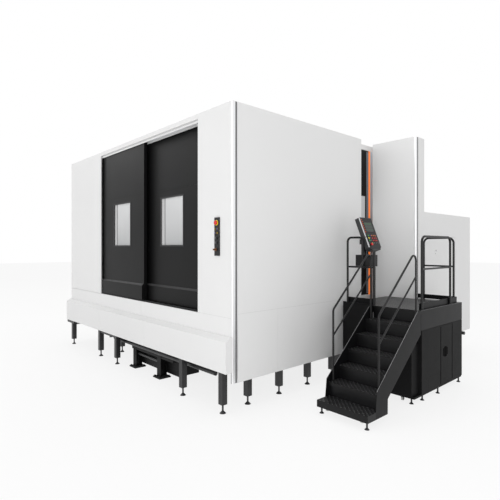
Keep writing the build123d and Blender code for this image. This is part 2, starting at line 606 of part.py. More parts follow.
# Control strip on the pillar: bevelled bar with bores, four lamps, three buttons and a key
strip_mid = sum(STRIP_X) / 2
strip_face = FRONT_Y - STRIP_OUT
stems = ((STOP_Z, LARGE_STEM), (START_Z, SMALL_STEM), (RELEASE_Z, SMALL_STEM), (KEY_Z, LARGE_STEM))
strip = block(*STRIP_X, strip_face, FRONT_Y, *STRIP_Z)
strip = chamfer(strip.faces().sort_by(Axis.Y)[0].edges(), 4)
for z, radius in stems:
    strip -= bar_y(strip_mid, strip_face, FRONT_Y, z, radius)
save("control_strip", strip)
LAMP_RADIUS = 15
LAMP_OUT = 8
lamps = []
for dx in (-24, 24):
    for z in (STOP_Z - 85, STOP_Z - 140):
        lamps.append(bar_y(strip_mid + dx, strip_face - LAMP_OUT, strip_face, z, LAMP_RADIUS))
save("strip_lamps", lamps)


def stem_button(z, stem, cap, height):
    """Push button whose stem runs in a bore of the strip."""
    under_cap = strip_face - 12
    body = bar_y(strip_mid, under_cap, FRONT_Y - 2, z, stem - FIT)
    return body + bar_y(strip_mid, under_cap - height, under_cap, z, cap)


stop = stem_button(STOP_Z, LARGE_STEM, 30, 16)
save("strip_stop_button", chamfer(stop.faces().sort_by(Axis.Y)[0].edges(), 5))
save("start_button", stem_button(START_Z, SMALL_STEM, 19, 6))
save("release_button", stem_button(RELEASE_Z, SMALL_STEM, 19, 6))
key = stem_button(KEY_Z, LARGE_STEM, 22, 8)
key += block(strip_mid - 2, strip_mid + 2, strip_face - 60, strip_face - 20, KEY_Z - 11, KEY_Z + 11)
save("key_switch", key)

# Operator's doorway in the recess: sill, lintel, jamb, slide rails and the light strip
OPERATOR_Z = (DECK_Z + 3, TOP_Z - 105)
jamb_y = TOWER_Y + 48
opening_z = (OPERATOR_Z[0] - SEAM, OPERATOR_Z[1] + SEAM)
frame_x = (DOOR_PLANE - 35, DOOR_PLANE - 5)
slide_x = (DOOR_PLANE - 5, DOOR_PLANE + 12)
doorway = [tray(*frame_x, WALL_END_Y + 2, tower_rear, UNDER_Z, opening_z[0], "x-"),
           tray(*frame_x, WALL_END_Y + 2, tower_rear, opening_z[1], TOP_Z, "x-"),
           block(*frame_x, jamb_y, tower_rear, *opening_z),
           block(*slide_x, WALL_END_Y - 575, jamb_y - 1, opening_z[1], opening_z[1] + 16),
           block(*slide_x, WALL_END_Y - 575, jamb_y - 1, opening_z[0] - 26, opening_z[0] - 2)]
save("operator_frame", doorway)
save("light_strip", block(DOOR_PLANE - 30, DOOR_PLANE - 4, jamb_y - 23, jamb_y - 0.5, *opening_z))

# Sliding operator door with a light window and a bow handle
LIGHT_Y = (205, 525)
LIGHT_Z = (2450, 3170)
op_door = tray(DOOR_PLANE - 32, DOOR_PLANE, WALL_END_Y + 5, jamb_y - 32, *OPERATOR_Z, "x-")
op_door += block(DOOR_PLANE - 20, DOOR_PLANE, LIGHT_Y[0] - 15, LIGHT_Y[1] + 10,
                 LIGHT_Z[0] - 10, LIGHT_Z[1] + 10)
op_door -= block(DOOR_PLANE - 32, DOOR_PLANE, *LIGHT_Y, *LIGHT_Z)
handle_y = (jamb_y - 88, jamb_y - 68)
HANDLE_Z = (1880, 2340)
HANDLE_BAR = 20        # height of the feet of the bow, which start this far from its ends
HANDLE_OUT = 12        # length of the feet and thickness of the bow
grip_x = DOOR_PLANE + HANDLE_OUT
for z in (HANDLE_Z[0] + HANDLE_BAR, HANDLE_Z[1] - 2 * HANDLE_BAR):
    op_door += block(DOOR_PLANE, grip_x, *handle_y, z, z + HANDLE_BAR)
op_door += block(grip_x, grip_x + HANDLE_OUT, *handle_y, *HANDLE_Z)
save("operator_door", op_door)
save("operator_window", block(DOOR_PLANE - 14, DOOR_PLANE - 14 + GLASS, *LIGHT_Y, *LIGHT_Z))

# Magazine tower: folded covers round a bottom beam, with a top sheet
left, right = TOWER_X
front_in, rear_edge = TOWER_Y + RETURN, tower_rear - RETURN
tower = [tray(left, right - CORNER - 0.5, TOWER_Y, front_in, REAR_BOX_BOTTOM, TOP_Z, "y+"),
         tray(right - RETURN, right, TOWER_Y + MOULD + 0.5, tower_rear, REAR_BOX_BOTTOM, TOP_Z, "x-"),
         tray(left, right - RETURN - 1, rear_edge, tower_rear, REAR_BOX_TOP, TOP_Z, "y-"),
         tray(left - 1, left + RETURN - 1, front_in + 1, rear_edge - 1, REAR_BOX_BOTTOM, TOP_Z - RETURN, "x+"),
         block(left + RETURN, right - RETURN - 1, front_in, rear_edge, TOP_Z - 2 * SHEET, TOP_Z - SHEET),
         block(left - 1 + SHEET, left + TUBE, front_in + 1 + SHEET, rear_edge - 1 - SHEET,
               REAR_BOX_BOTTOM + SHEET, REAR_BOX_BOTTOM + TUBE)]
save("magazine_tower", tower)

# Rear box beside the machine: covers, floor, and the stand with the drum's axle
SERVICE_Y = (1330, 2280)
SERVICE_Z = (900, 2400)
HINGE_IN = 9           # edge of a hinged door's opening to its pin
HINGE_DEEP = 6         # face of the cover to the pin
PIN = 3                # radius of a hinge pin
PIN_LONG = 14
PIN_BASE = 6           # half the width of a pin's bearing block
BOSS = 7               # half the width of the boss that a pin runs in
LEAF_DEEP = 21         # depth of a hinged door
drum_y = tower_rear + 1050
box_top = REAR_BOX_TOP - 1
side = tray(right - RETURN, right, tower_rear + 1, REAR_Y, REAR_BOX_BOTTOM, box_top, "x-")
side -= block(right - RETURN, right, *SERVICE_Y, *SERVICE_Z)
service_pin = (right - HINGE_DEEP, SERVICE_Y[1] - HINGE_IN)


def hinge_pins(x, y, low_z, high_z):
    """Bearing blocks and pins above and below the opening of a hinged door."""
    pins = rod(x, y, low_z, low_z + PIN_LONG, PIN) + rod(x, y, high_z - PIN_LONG, high_z, PIN)
    base = (x - PIN_BASE, x + HINGE_DEEP - SHEET, y - PIN_BASE, y + PIN_BASE)
    return pins + block(*base, low_z - 9, low_z) + block(*base, high_z, high_z + 9)


def hinged_door(x1, ends_y, ends_z, pin):
    """Folded door with bored bosses for the pins in the corners beside its hinge."""
    y0, y1 = ends_y[0] + SHEET, ends_y[1] - SHEET
    z0, z1 = ends_z[0] + SHEET, ends_z[1] - SHEET
    leaf = tray(x1 - LEAF_DEEP, x1, y0, y1, z0, z1, "x-")
    for low, high in ((z0, z0 + PIN_LONG), (z1 - PIN_LONG, z1)):
        boss = block(pin[0] - BOSS, x1, pin[1] - BOSS, pin[1] + BOSS, low, high)
        leaf += boss.intersect(block(x1 - LEAF_DEEP, x1, y0, y1, z0, z1))
        leaf -= rod(*pin, low - 1, high + 1, PIN + FIT)
    return leaf


side += hinge_pins(*service_pin, *SERVICE_Z)
rear = tray(INNER_X + SHEET, right - RETURN - 1, REAR_Y - RETURN, REAR_Y, REAR_BOX_BOTTOM, box_top, "y-")
lid = tray(INNER_X + SHEET, right, tower_rear + 1, REAR_Y, box_top, box_top + 20, "z-")
floor = block(INNER_X + SHEET, right - RETURN, tower_rear, REAR_Y - RETURN, REAR_BOX_BOTTOM, REAR_BOX_BOTTOM + 8)
DRUM_X = (2330, 2370)
AXLE = 70
stand = block(DRUM_X[1] + 30, DRUM_X[1] + 130, drum_y - 80, drum_y + 80, REAR_BOX_BOTTOM + 8, DRUM_Z + 60)
stand += bar_x(DRUM_X[0], DRUM_X[1] + 30, drum_y, DRUM_Z, AXLE)
save("rear_box", [side, rear, lid, floor, stand])
flap = hinged_door(right - 1, SERVICE_Y, SERVICE_Z, service_pin)
flap += bar_x(right - 4, right + 8, SERVICE_Y[0] + 63, 2144, 22)
save("service_door", flap)

# Drain under the rear box, kept with the pipes below the covers
outlet_at = (REAR_Y - 342, UNDER_Z + 29)
OUTLET_RADIUS = 34
elbow_x = right - RETURN - 40
outlet = bar_x(elbow_x, right + 22, *outlet_at, OUTLET_RADIUS)
outlet += rod(elbow_x, *outlet_at, REAR_BOX_BOTTOM, OUTLET_RADIUS)
save("under_pipes", pipes + [outlet])

# Tool drum: a disc with tool pots round its rim, each with a tool in it
drum = bar_x(*DRUM_X, drum_y, DRUM_Z, DRUM_RADIUS) - bar_x(*DRUM_X, drum_y, DRUM_Z, AXLE + FIT)
pot_ring = DRUM_RADIUS - 90
POT_RADIUS = 52
POT_LONG = 140
TOOL_RADIUS = 24
TOOL_LONG = 130
tool_end = DRUM_X[0] - POT_LONG - TOOL_LONG
for number in range(DRUM_POTS):
    angle = radians(360 * number / DRUM_POTS)
    y, z = drum_y + pot_ring * cos(angle), DRUM_Z + pot_ring * sin(angle)
    drum += bar_x(DRUM_X[0] - POT_LONG, DRUM_X[0], y, z, POT_RADIUS)
    drum += Pos(tool_end, y, z) * Rot(0, 90, 0) * extrude(RegularPolygon(TOOL_RADIUS, 6), amount=TOOL_LONG)
save("tool_drum", drum)

# Stair stringers: plates cut along the pitch line of the nosings
PLATE = 8
CLEAR = 24             # nosing to the riser sheet below it


def pitch_z(y, offset=0.0):
    """Height of the line through the nosings at a depth, moved by an offset."""
    return FIRST_TREAD_Z + RISER + (y - SECOND_NOSE_Y) * RISER / GOING + offset


step_low = FIRST_TREAD_Z - 90
first_rear = SECOND_NOSE_Y - 67
top_y = SECOND_NOSE_Y + (DECK_Z - 78 - FIRST_TREAD_Z - RISER) * GOING / RISER
stringer = [(first_rear, step_low), (first_rear, FIRST_TREAD_Z + 4),
            (first_rear + 29, pitch_z(first_rear + 29, 88)),
            (top_y, DECK_Z), (DECK_FRONT, DECK_Z), (DECK_FRONT, DECK_Z - 332),
            (first_rear + 339, pitch_z(first_rear + 339, -274)), (first_rear + 284, FIRST_TREAD_Z + 100),
            (first_rear + 281, step_low)]
stringers = [profile_x(stringer, stair_l, stair_l + PLATE),
             profile_x(stringer, stair_r - PLATE, stair_r)]
save("stair_stringers", stringers)

# Treads folded from plate: a drop lip in front and a closed riser down to the tread below
FOLD = 5
LIP = 45
RISER_SHEET = 4
inner = (stair_l + PLATE, stair_r - PLATE)
first_front = first_rear - 178
bottom = tray(stair_l, stair_r, first_front, first_rear, step_low, FIRST_TREAD_Z, "z-")
bottom += block(*inner, first_rear, SECOND_NOSE_Y + CLEAR, FIRST_TREAD_Z - FOLD, FIRST_TREAD_Z)
bottom += block(stair_l + SHEET, stair_r - SHEET, first_front + 25, first_rear - 48, step_low, step_low + 6)
treads = [bottom]
for number in range(TREADS - 1):
    nose = SECOND_NOSE_Y + GOING * number
    top = FIRST_TREAD_Z + RISER * (number + 1)
    riser_y = nose + CLEAR - RISER_SHEET
    back = riser_y + GOING
    folded = [(nose, top), (back, top), (back, top - FOLD), (riser_y + RISER_SHEET, top - FOLD),
              (riser_y + RISER_SHEET, top - RISER), (riser_y, top - RISER), (riser_y, top - FOLD),
              (nose + FOLD, top - FOLD), (nose + FOLD, top - LIP), (nose, top - LIP)]
    treads.append(profile_x(folded, *inner))

# Deck plate with its folded front lip
cab_l = stair_l + 62
deck_rear = TOWER_Y - 4
DECK_PLATE = 6
under = DECK_Z - DECK_PLATE
deck = block(DECK_LEFT, cab_l, DECK_FRONT, deck_rear, under, DECK_Z)
deck += block(cab_l, stair_r, DECK_FRONT, DECK_REAR, under, DECK_Z)
deck += block(stair_l, stair_r, DECK_FRONT, DECK_FRONT + FOLD, DECK_Z - LIP, DECK_Z)
save("platform_deck", deck)
top_riser = DECK_FRONT + CLEAR - RISER_SHEET
treads.append(block(*inner, top_riser, top_riser + RISER_SHEET, DECK_Z - RISER - FOLD, under))
save("stair_treads", treads)

# Platform frame: fascias, channels below the deck, toe boards and corner posts
FASCIA_Z = DECK_Z - 281
CHANNEL = 120
BOARD = 4
fascias = [block(DECK_LEFT - 40, stair_l - 1, DECK_FRONT - 6, DECK_FRONT, DECK_Z - 835, DECK_Z + 17),
           block(stair_r - 5, stair_r, DECK_FRONT + 6, DECK_REAR, FASCIA_Z, under),
           block(cab_l, stair_r - 5, DECK_REAR - 5, DECK_REAR, FASCIA_Z, under)]


def channel_outline(y, way):
    """Section of a channel from its back face, with flanges that point one way."""
    thick, flange = 8, 56
    low = under - CHANNEL
    return [(y, low), (y + way * flange, low), (y + way * flange, low + thick),
            (y + way * thick, low + thick), (y + way * thick, under - thick),
            (y + way * flange, under - thick), (y + way * flange, under), (y, under)]


beams = [block(DECK_LEFT, DECK_LEFT + 60, DECK_FRONT + FOLD, deck_rear, under - CHANNEL, under),
         profile_x(channel_outline(-560, 1), DECK_LEFT + 60, stair_r - 5),
         profile_x(channel_outline(deck_rear, -1), DECK_LEFT + 60, stair_r - 5)]
toe_top = DECK_Z + 94
hoop_y = DECK_FRONT + 24
rear_hoop_y = DECK_REAR - 75
rail_x = stair_r - 26
CONSOLE_POST = RAIL_TUBE + 3
front_board = hoop_y + CONSOLE_POST + GAP
side_board = rail_x - RAIL_TUBE - GAP
rear_board = rear_hoop_y - RAIL_TUBE - GAP
boards = [block(DECK_LEFT + 6, stair_l - 6, front_board, front_board + BOARD, DECK_Z, toe_top),
          block(side_board - BOARD, side_board, DECK_FRONT + 40, rear_board, DECK_Z, toe_top),
          block(cab_l + 6, side_board - BOARD, rear_board - BOARD, rear_board, DECK_Z + 20, toe_top)]
cab_top = DECK_Z - 285
corner_posts = []
for x in (cab_l, stair_r - 65):
    for y in (-560, deck_rear - 60):
        corner_posts.append(block(x, x + 60, y, y + 60, cab_top, under - CHANNEL))
save("platform_frame", fascias + beams + boards + corner_posts)

# Cabinet below the platform with its door opening, the box below the stairs and the plinth
cab_y = (-662, DECK_REAR)
CAB_BOTTOM = 117
BOX_FRONT = -862
cab_door_y = (-61, 375)
cab_door_z = (CAB_BOTTOM + 13, cab_top - 9)
cab_pin = (stair_r - HINGE_DEEP, cab_door_y[1] - HINGE_IN)
cabinet = block(cab_l, stair_r, *cab_y, CAB_BOTTOM, cab_top)
cabinet -= block(cab_l + SHEET, stair_r - SHEET, cab_y[0] + SHEET, cab_y[1] - SHEET,
                 CAB_BOTTOM + SHEET, cab_top - SHEET)
cabinet -= block(stair_r - SHEET, stair_r, *cab_door_y, *cab_door_z)
cabinet += hinge_pins(*cab_pin, *cab_door_z)
panel = (cab_y[0] + 199, cab_door_y[0] - 10)
groove = block(stair_r - 1, stair_r, *panel, CAB_BOTTOM, CAB_BOTTOM + 205)
groove -= block(stair_r - 1, stair_r, panel[0] + 3, panel[1] - 3, CAB_BOTTOM, CAB_BOTTOM + 202)
cabinet -= groove
box_top_z = DECK_Z - 480
front_box = tray(cab_l, stair_r - 51, BOX_FRONT, cab_y[0], CAB_BOTTOM, box_top_z, "y+")
plinth = block(cab_l, stair_r - 10, BOX_FRONT, DECK_REAR, CAB_BOTTOM - 27, CAB_BOTTOM)
plinth -= block(cab_l + 60, stair_r - 70, BOX_FRONT + 60, DECK_REAR - 60, CAB_BOTTOM - 27, CAB_BOTTOM)
save("platform_cabinet", [cabinet, front_box, plinth])

# Cabinet door with a sunk latch: the paddle lifts out about a pin across the pocket
LATCH_WIDE = 102
LATCH_HIGH = 167
latch_y, latch_z = cab_door_y[0] + 176, 604
door_x = stair_r - 1
door = hinged_door(door_x, cab_door_y, cab_door_z, cab_pin)
half_w, half_h = LATCH_WIDE / 2, LATCH_HIGH / 2
door += block(door_x - 20, door_x, latch_y - half_w, latch_y + half_w, latch_z - half_h, latch_z + half_h)
in_w, in_h = half_w - 6, half_h - 6
door -= block(door_x - 17, door_x, latch_y - in_w, latch_y + in_w, latch_z - in_h, latch_z + in_h)
paddle_x, paddle_z = door_x - 8.5, latch_z + half_h - 18
PADDLE_PIN = 4
door -= bar_y(paddle_x, latch_y - half_w, latch_y + half_w, paddle_z, PADDLE_PIN + FIT)
save("cabinet_door", door)
paddle_half = in_w - 1.5
latch = bar_y(paddle_x, latch_y - half_w + 1, latch_y + half_w - 1, paddle_z, PADDLE_PIN)
latch += bar_y(paddle_x, latch_y - paddle_half, latch_y + paddle_half, paddle_z, 8)
latch += block(paddle_x - 3, paddle_x + 5, latch_y - paddle_half, latch_y + paddle_half,
               latch_z - half_h + 26, paddle_z)
save("cabinet_latch", latch)

# Handrails up the stairs: a bent top rail between two posts, with a middle rail
RAIL_IN = 28           # outer face of the stairs to the middle of a rail
high_y = DECK_FRONT - 89
knee_y = DECK_FRONT - 190
post_foot = SECOND_NOSE_Y + 76


def stair_rail(x, foot_y):
    """Rail that follows the pitch line, its posts on the second and the last tread."""
    low_z, high_z = FIRST_TREAD_Z + RISER, DECK_Z - RISER
    hand_low, hand_high = pitch_z(post_foot, 915), pitch_z(knee_y, 940)
    rail = bent_tube([(x, foot_y, low_z), (x, foot_y, hand_low), (x, knee_y, hand_high),
                      (x, high_y, hand_high), (x, high_y, high_z)], STAIR_TUBE, 70)
    middle = [(x, foot_y, pitch_z(post_foot, 560)), (x, high_y, pitch_z(high_y, 564))]
    return rail + bent_tube(middle, STAIR_MID)


save("stair_rails", [stair_rail(stair_l + RAIL_IN, post_foot),
                     stair_rail(stair_r - RAIL_IN, post_foot - 28)])

# Guard hoops on the deck, the front one with the console's post
def hoop(ends):
    """Bent tube standing on the deck, with a middle rail."""
    (x0, y0), (x1, y1) = ends
    body = bent_tube([(x0, y0, DECK_Z), (x0, y0, HOOP_TOP), (x1, y1, HOOP_TOP), (x1, y1, DECK_Z)])
    return body + bent_tube([(x0, y0, HOOP_MID), (x1, y1, HOOP_MID)], MID_TUBE)


hoop_x = (DECK_LEFT + 30, DECK_LEFT + 310)
post_x = stair_l + 15
front_hoop = bent_tube([(hoop_x[0], hoop_y, DECK_Z), (hoop_x[0], hoop_y, HOOP_TOP),
                        (hoop_x[1], hoop_y, HOOP_TOP), (hoop_x[1], hoop_y, HOOP_MID)], bend=70)
front_hoop += rod(post_x, hoop_y, DECK_Z, DECK_Z + 844, CONSOLE_POST)
front_hoop += bent_tube([(hoop_x[0], hoop_y, HOOP_MID), (post_x, hoop_y, HOOP_MID)], MID_TUBE)
side_hoop = hoop(((rail_x, DECK_FRONT + 85), (rail_x, DECK_REAR - 390)))
rear_hoop = hoop(((stair_l + 170, rear_hoop_y), (stair_r - 100, rear_hoop_y)))
save("guard_hoops", [front_hoop, side_hoop, rear_hoop])

# Console: junction box and arm with a pivot pin, and the swivelling housing on it
box_y = hoop_y + RAIL_TUBE
box_z = (DECK_Z + 598, DECK_Z + 777)
arm_at = (DECK_LEFT + 250, box_y + 90)
ARM = 28
ARM_PIN = 14
pivot_z = box_z[1] + 167
bracket = block(DECK_LEFT + 170, stair_l - 28, box_y, box_y + 148, *box_z)
bracket += rod(*arm_at, box_z[1], pivot_z, ARM) + rod(*arm_at, pivot_z, pivot_z + 60, ARM_PIN)
save("console_bracket", bracket)
TILT = -21.8
CASE = (95, 330, 557)  # thickness, width and height of the housing
BEZEL = 12
face_at = Pos(DECK_LEFT + 340, box_y + 172, DECK_Z + 1119) * Rot(0, TILT, 0)
housing = chamfer(Box(*CASE).edges().filter_by(Axis.X).group_by(Axis.Z)[0], 45)
housing = face_at * Pos(-CASE[0] / 2, 0, 0) * housing
housing -= face_at * Pos(-2, 0, 0) * Box(4, CASE[1] - 2 * BEZEL, CASE[2] - 2 * BEZEL)
hub = block(arm_at[0] - 40, arm_at[0] + 60, arm_at[1] - 40, arm_at[1] + 40, pivot_z + GAP, pivot_z + 80)
housing += hub - rod(*arm_at, pivot_z, pivot_z + 62, ARM_PIN + FIT)
STOP_STEM = 10
stop_at = Pos(0, -105, -190)
housing -= face_at * stop_at * Rot(0, 90, 0) * Cylinder(STOP_STEM + FIT, 60)
save("console_housing", housing)

# Console face: panel with cut corners, screen, rows of keys and the stop button
panel_size = (4, CASE[1] - 2 * BEZEL - 6, CASE[2] - 2 * BEZEL - 6)
plate = Box(*panel_size)
plate = chamfer(plate.edges().filter_by(Axis.X).group_by(Axis.Z)[0], 40)
plate = face_at * Pos(-2, 0, 0) * plate
plate -= face_at * stop_at * Rot(0, 90, 0) * Cylinder(STOP_STEM + FIT, 60)
face = [plate, face_at * Pos(1.5, 0, 110) * Box(3, 230, 180)]
KEY_PITCH = (50, 42)
KEY = (6, 36, 28)      # how far a key stands out, its width and its height
KEY_ROWS = 4
FIRST_KEY = (-110, -40)
for row in range(KEY_ROWS):
    last_row = row == KEY_ROWS - 1
    shift = 60 if last_row else 0
    for number in range(4 if last_row else 5):
        y = FIRST_KEY[0] + KEY_PITCH[0] * number + shift
        if y < 120:
            face.append(face_at * Pos(KEY[0] / 2, y, FIRST_KEY[1] - KEY_PITCH[1] * row) * Box(*KEY))
save("console_face", face)
stop = face_at * stop_at * Pos(-4, 0, 0) * Rot(0, 90, 0) * Cylinder(STOP_STEM, 36)
stop += face_at * stop_at * Pos(20, 0, 0) * Rot(0, 90, 0) * Cylinder(22, 14)
save("console_stop_button", stop)

# Retracted casters below the stairs: the forks go with the feet, the wheels turn on pins
CASTER_Z = 56
WHEEL = 24
WHEEL_PIN = 5
WHEEL_HALF = 13        # half the width of a wheel
FORK_OUT = 17          # middle of a wheel to the middle of a fork's cheek
casters = [("caster_wheel_front_left", stair_l + 100, -1947, FIRST_TREAD_Z - 90),
           ("caster_wheel_front_right", stair_r - 146, -1942, FIRST_TREAD_Z - 90),
           ("caster_wheel_rear", stair_r - 198, -832, FIRST_TREAD_Z - 88)]
for name, x, y, top in casters:
    fork_body = block(x - 20, x + 20, y - 20, y + 20, CASTER_Z + 28, top)
    for side in (-1, 1):
        fork_x = x + side * FORK_OUT
        fork_body += block(fork_x - 2, fork_x + 2, y - 12, y + 12, CASTER_Z - 10, CASTER_Z + 30)
    feet.append(fork_body + bar_x(x - FORK_OUT, x + FORK_OUT, y, CASTER_Z, WHEEL_PIN))
    wheel = bar_x(x - WHEEL_HALF, x + WHEEL_HALF, y, CASTER_Z, WHEEL)
    save(name, wheel - bar_x(x - WHEEL_HALF, x + WHEEL_HALF, y, CASTER_Z, WHEEL_PIN + FIT))
save("levelling_feet", pads + feet)
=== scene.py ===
import math

import bpy
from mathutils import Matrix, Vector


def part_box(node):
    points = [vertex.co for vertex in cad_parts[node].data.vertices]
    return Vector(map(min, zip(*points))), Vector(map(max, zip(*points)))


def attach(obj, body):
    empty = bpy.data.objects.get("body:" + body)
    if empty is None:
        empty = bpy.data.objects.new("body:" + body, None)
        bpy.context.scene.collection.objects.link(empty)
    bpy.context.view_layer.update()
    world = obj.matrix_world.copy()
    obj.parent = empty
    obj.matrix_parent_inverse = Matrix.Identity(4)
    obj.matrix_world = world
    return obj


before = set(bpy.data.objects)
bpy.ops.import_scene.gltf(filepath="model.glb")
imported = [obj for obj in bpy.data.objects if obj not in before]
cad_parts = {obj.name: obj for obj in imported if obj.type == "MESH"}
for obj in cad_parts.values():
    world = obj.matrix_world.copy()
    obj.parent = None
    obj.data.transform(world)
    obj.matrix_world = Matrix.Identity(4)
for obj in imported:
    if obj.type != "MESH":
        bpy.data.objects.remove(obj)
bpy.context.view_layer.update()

# Camera: a level view from past the front right corner of the machine.
# It stands 2.2 m over the floor, where the photograph was taken from.
camera = bpy.data.objects.new("camera", bpy.data.cameras.new("camera"))
bpy.context.collection.objects.link(camera)
camera.location = (6.46, -6.495, 2.2)
camera.rotation_euler = (math.radians(90), 0, math.radians(47.7))
camera.data.lens = 30.53
camera.data.sensor_width = 36
camera.data.shift_y = -0.005
camera.data.clip_end = 200
bpy.context.scene.camera = camera

# Studio: an even white room with six soft boxes round the machine and above it.
# The room shows white to the camera, in metal and in glass, and lights more gently.
ROOM_WHITE = 1.0
ROOM_LIGHT = 0.66


class Value:
    """A shader socket that adds Math nodes when it is used in a sum."""

    def __init__(self, socket):
        self.socket = socket

    def make(self, kind, settings=None, inputs=None, out=0):
        """Adds a node of this kind to the same tree and gives one of its outputs."""
        tree = self.socket.id_data
        node = tree.nodes.new(kind)
        for name, setting in (settings or {}).items():
            if name != "stops":
                setattr(node, name, setting)
                continue
            for stop, (place, grey) in zip(node.color_ramp.elements, setting):
                stop.position = place
                stop.color = (grey, grey, grey, 1)
        for name, value in (inputs or {}).items():
            if isinstance(value, Value):
                tree.links.new(value.socket, node.inputs[name])
            else:
                node.inputs[name].default_value = value
        return Value(node.outputs[out])

    def math(self, operation, *values):
        """One Math node on this value and the others."""
        return self.make("ShaderNodeMath", {"operation": operation}, dict(enumerate((self, *values))))

    def __add__(self, other):
        return self.math("ADD", other)

    def __sub__(self, other):
        return self.math("SUBTRACT", other)

    def __rsub__(self, other):
        return self.make("ShaderNodeMath", {"operation": "SUBTRACT"}, {0: other, 1: self})

    def __mul__(self, other):
        return self.math("MULTIPLY", other)

    __radd__ = __add__
    __rmul__ = __mul__


def give(node, socket, value):
    """Feeds a worked-out value to one socket of a node."""
    node.id_data.links.new(value.socket, node.inputs[socket])


def between(factor, low, high):
    """Number that goes from low to high as the factor goes from 0 to 1."""
    return factor * (high - low) + low


def shown(value):
    """1 on rays from the camera, or by way of metal and glass, 0 on light that falls on things."""
    seen = value.make("ShaderNodeLightPath", out="Is Camera Ray")
    rays = seen.socket.node.outputs
    for other in ("Is Transmission Ray", "Is Glossy Ray"):
        seen = seen.math("MAXIMUM", Value(rays[other]))
    return seen


def lamp(name, place, target, size, power):
    """One square soft box aimed at a point."""
    light = bpy.data.objects.new(name, bpy.data.lights.new(name, "AREA"))
    bpy.context.collection.objects.link(light)
    light.data.size = size
    light.data.energy = power
    light.location = place
    across, ahead, up = (end - start for start, end in zip(place, target))
    tilt = math.pi / 2 + math.atan2(up, math.hypot(across, ahead))
    light.rotation_euler = (tilt, 0, math.atan2(-across, ahead))


scene = bpy.context.scene
scene.view_settings.view_transform = "Standard"
world = bpy.data.worlds.new("studio")
scene.world = world
world.use_nodes = True
background = world.node_tree.nodes["Background"]
background.inputs["Color"].default_value = (1, 1, 1, 1)
give(background, "Strength", between(shown(Value(background.outputs[0])), ROOM_LIGHT, ROOM_WHITE))
lamp("front_softbox", place=(-5.0, -13.0, 8.0), target=(-0.5, -2.9, 1.8), size=7.0, power=190)
lamp("left_softbox", place=(-20.0, -9.5, 10.5), target=(-1.5, -2.9, 3.8), size=4.5, power=240)
lamp("fill_softbox", place=(15.0, -19.0, 5.0), target=(2.5, 0.6, 2.0), size=8.0, power=720)
lamp("near_softbox", place=(10.5, -10.0, 2.2), target=(2.2, -0.9, 1.2), size=3.5, power=190)
lamp("side_softbox", place=(19.0, 2.5, 3.6), target=(2.2, 0.5, 1.4), size=9.0, power=60)
lamp("top_softbox", place=(0.5, 0.5, 12.0), target=(0.0, 0.0, 0.0), size=8.0, power=420)

# Floor: pale sealed concrete with a faint cloudiness, under the machine.
# It glows a little where it is seen, as a lit studio floor does, and keeps the shadow.
FLOOR_SIZE = 120
FLOOR_GLOW = 0.82      # share of the glow in what is seen of the floor
MIX_FACTOR = 0
MIX_SHADERS = (1, 2)
MIX_COLOURS = (6, 7)   # colour sockets of a Mix node, whose names repeat
MIX_COLOUR_OUT = 2


def finish(name, **looks):
    """New material: its surface shader, its object coordinates and its fixed settings."""
    material = bpy.data.materials.new(name)
    material.use_nodes = True
    surface = material.node_tree.nodes["Principled BSDF"]
    for socket, value in looks.items():
        surface.inputs[socket.replace("_", " ")].default_value = value
    place = Value(surface.outputs[0]).make("ShaderNodeTexCoord", out="Object")
    return material, surface, place


def noise(place, scale, detail=4.0):
    """Even noise from 0 to 1 on the object's own coordinates."""
    inputs = {"Vector": place, "Scale": scale, "Detail": detail, "Roughness": 0.6}
    return place.make("ShaderNodeTexNoise", None, inputs)


def blend_colours(factor, low, high):
    """Colour between two colours, each of them fixed or worked out."""
    inputs = {MIX_FACTOR: factor}
    for socket, colour in zip(MIX_COLOURS, (low, high)):
        inputs[socket] = colour if isinstance(colour, Value) else (*colour, 1)
    return factor.make("ShaderNodeMix", {"data_type": "RGBA"}, inputs, MIX_COLOUR_OUT)


floor_finish, surface, place = finish("floor_finish", Roughness=0.6)
clouds = noise(place, scale=0.6)
give(surface, "Base Color", blend_colours(clouds, (0.9, 0.9, 0.9), (0.93, 0.93, 0.93)))
glow = place.make("ShaderNodeEmission", None, {"Color": (1, 1, 1, 1), "Strength": 1.0})
layers = {MIX_FACTOR: shown(place) * FLOOR_GLOW}
layers.update(zip(MIX_SHADERS, (Value(surface.outputs[0]), glow)))
lit_floor = place.make("ShaderNodeMixShader", None, layers)
give(surface.id_data.nodes["Material Output"], "Surface", lit_floor)
bpy.ops.mesh.primitive_plane_add(size=FLOOR_SIZE, location=(0, 0, 0))
floor = bpy.context.object
floor.name = "studio_floor"
floor.data.materials.append(floor_finish)


# White covers: folded sheet steel, sprayed with a fine textured enamel.
# Each cover hooks on the tube frame, with a thin shadow gap to the next.
def bump(height, strength, depth):
    """Small relief for the Normal socket, its depth in metres."""
    return height.make("ShaderNodeBump", None, {"Height": height, "Strength": strength, "Distance": depth})


def paint(material, *nodes):
    """Gives CAD nodes this material."""
    for node in nodes:
        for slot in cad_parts[node].material_slots:
            slot.material = material


cover_white, surface, place = finish("cover_white", Specular_IOR_Level=0.3)
patches = noise(place, scale=0.35, detail=2.0)
give(surface, "Base Color", blend_colours(patches, (0.775, 0.775, 0.775), (0.815, 0.815, 0.813)))
give(surface, "Roughness", between(noise(place, scale=3.0), 0.54, 0.62))
give(surface, "Normal", bump(noise(place, scale=420.0, detail=2.0), strength=0.12, depth=0.0006))
paint(cover_white, "front_skirt", "door_surround", "left_cabinet_cover", "pillar_cover", "right_wall")
paint(cover_white, "left_wall", "rear_wall", "roof_sheets")
paint(cover_white, "operator_frame", "magazine_tower", "rear_box", "service_door")


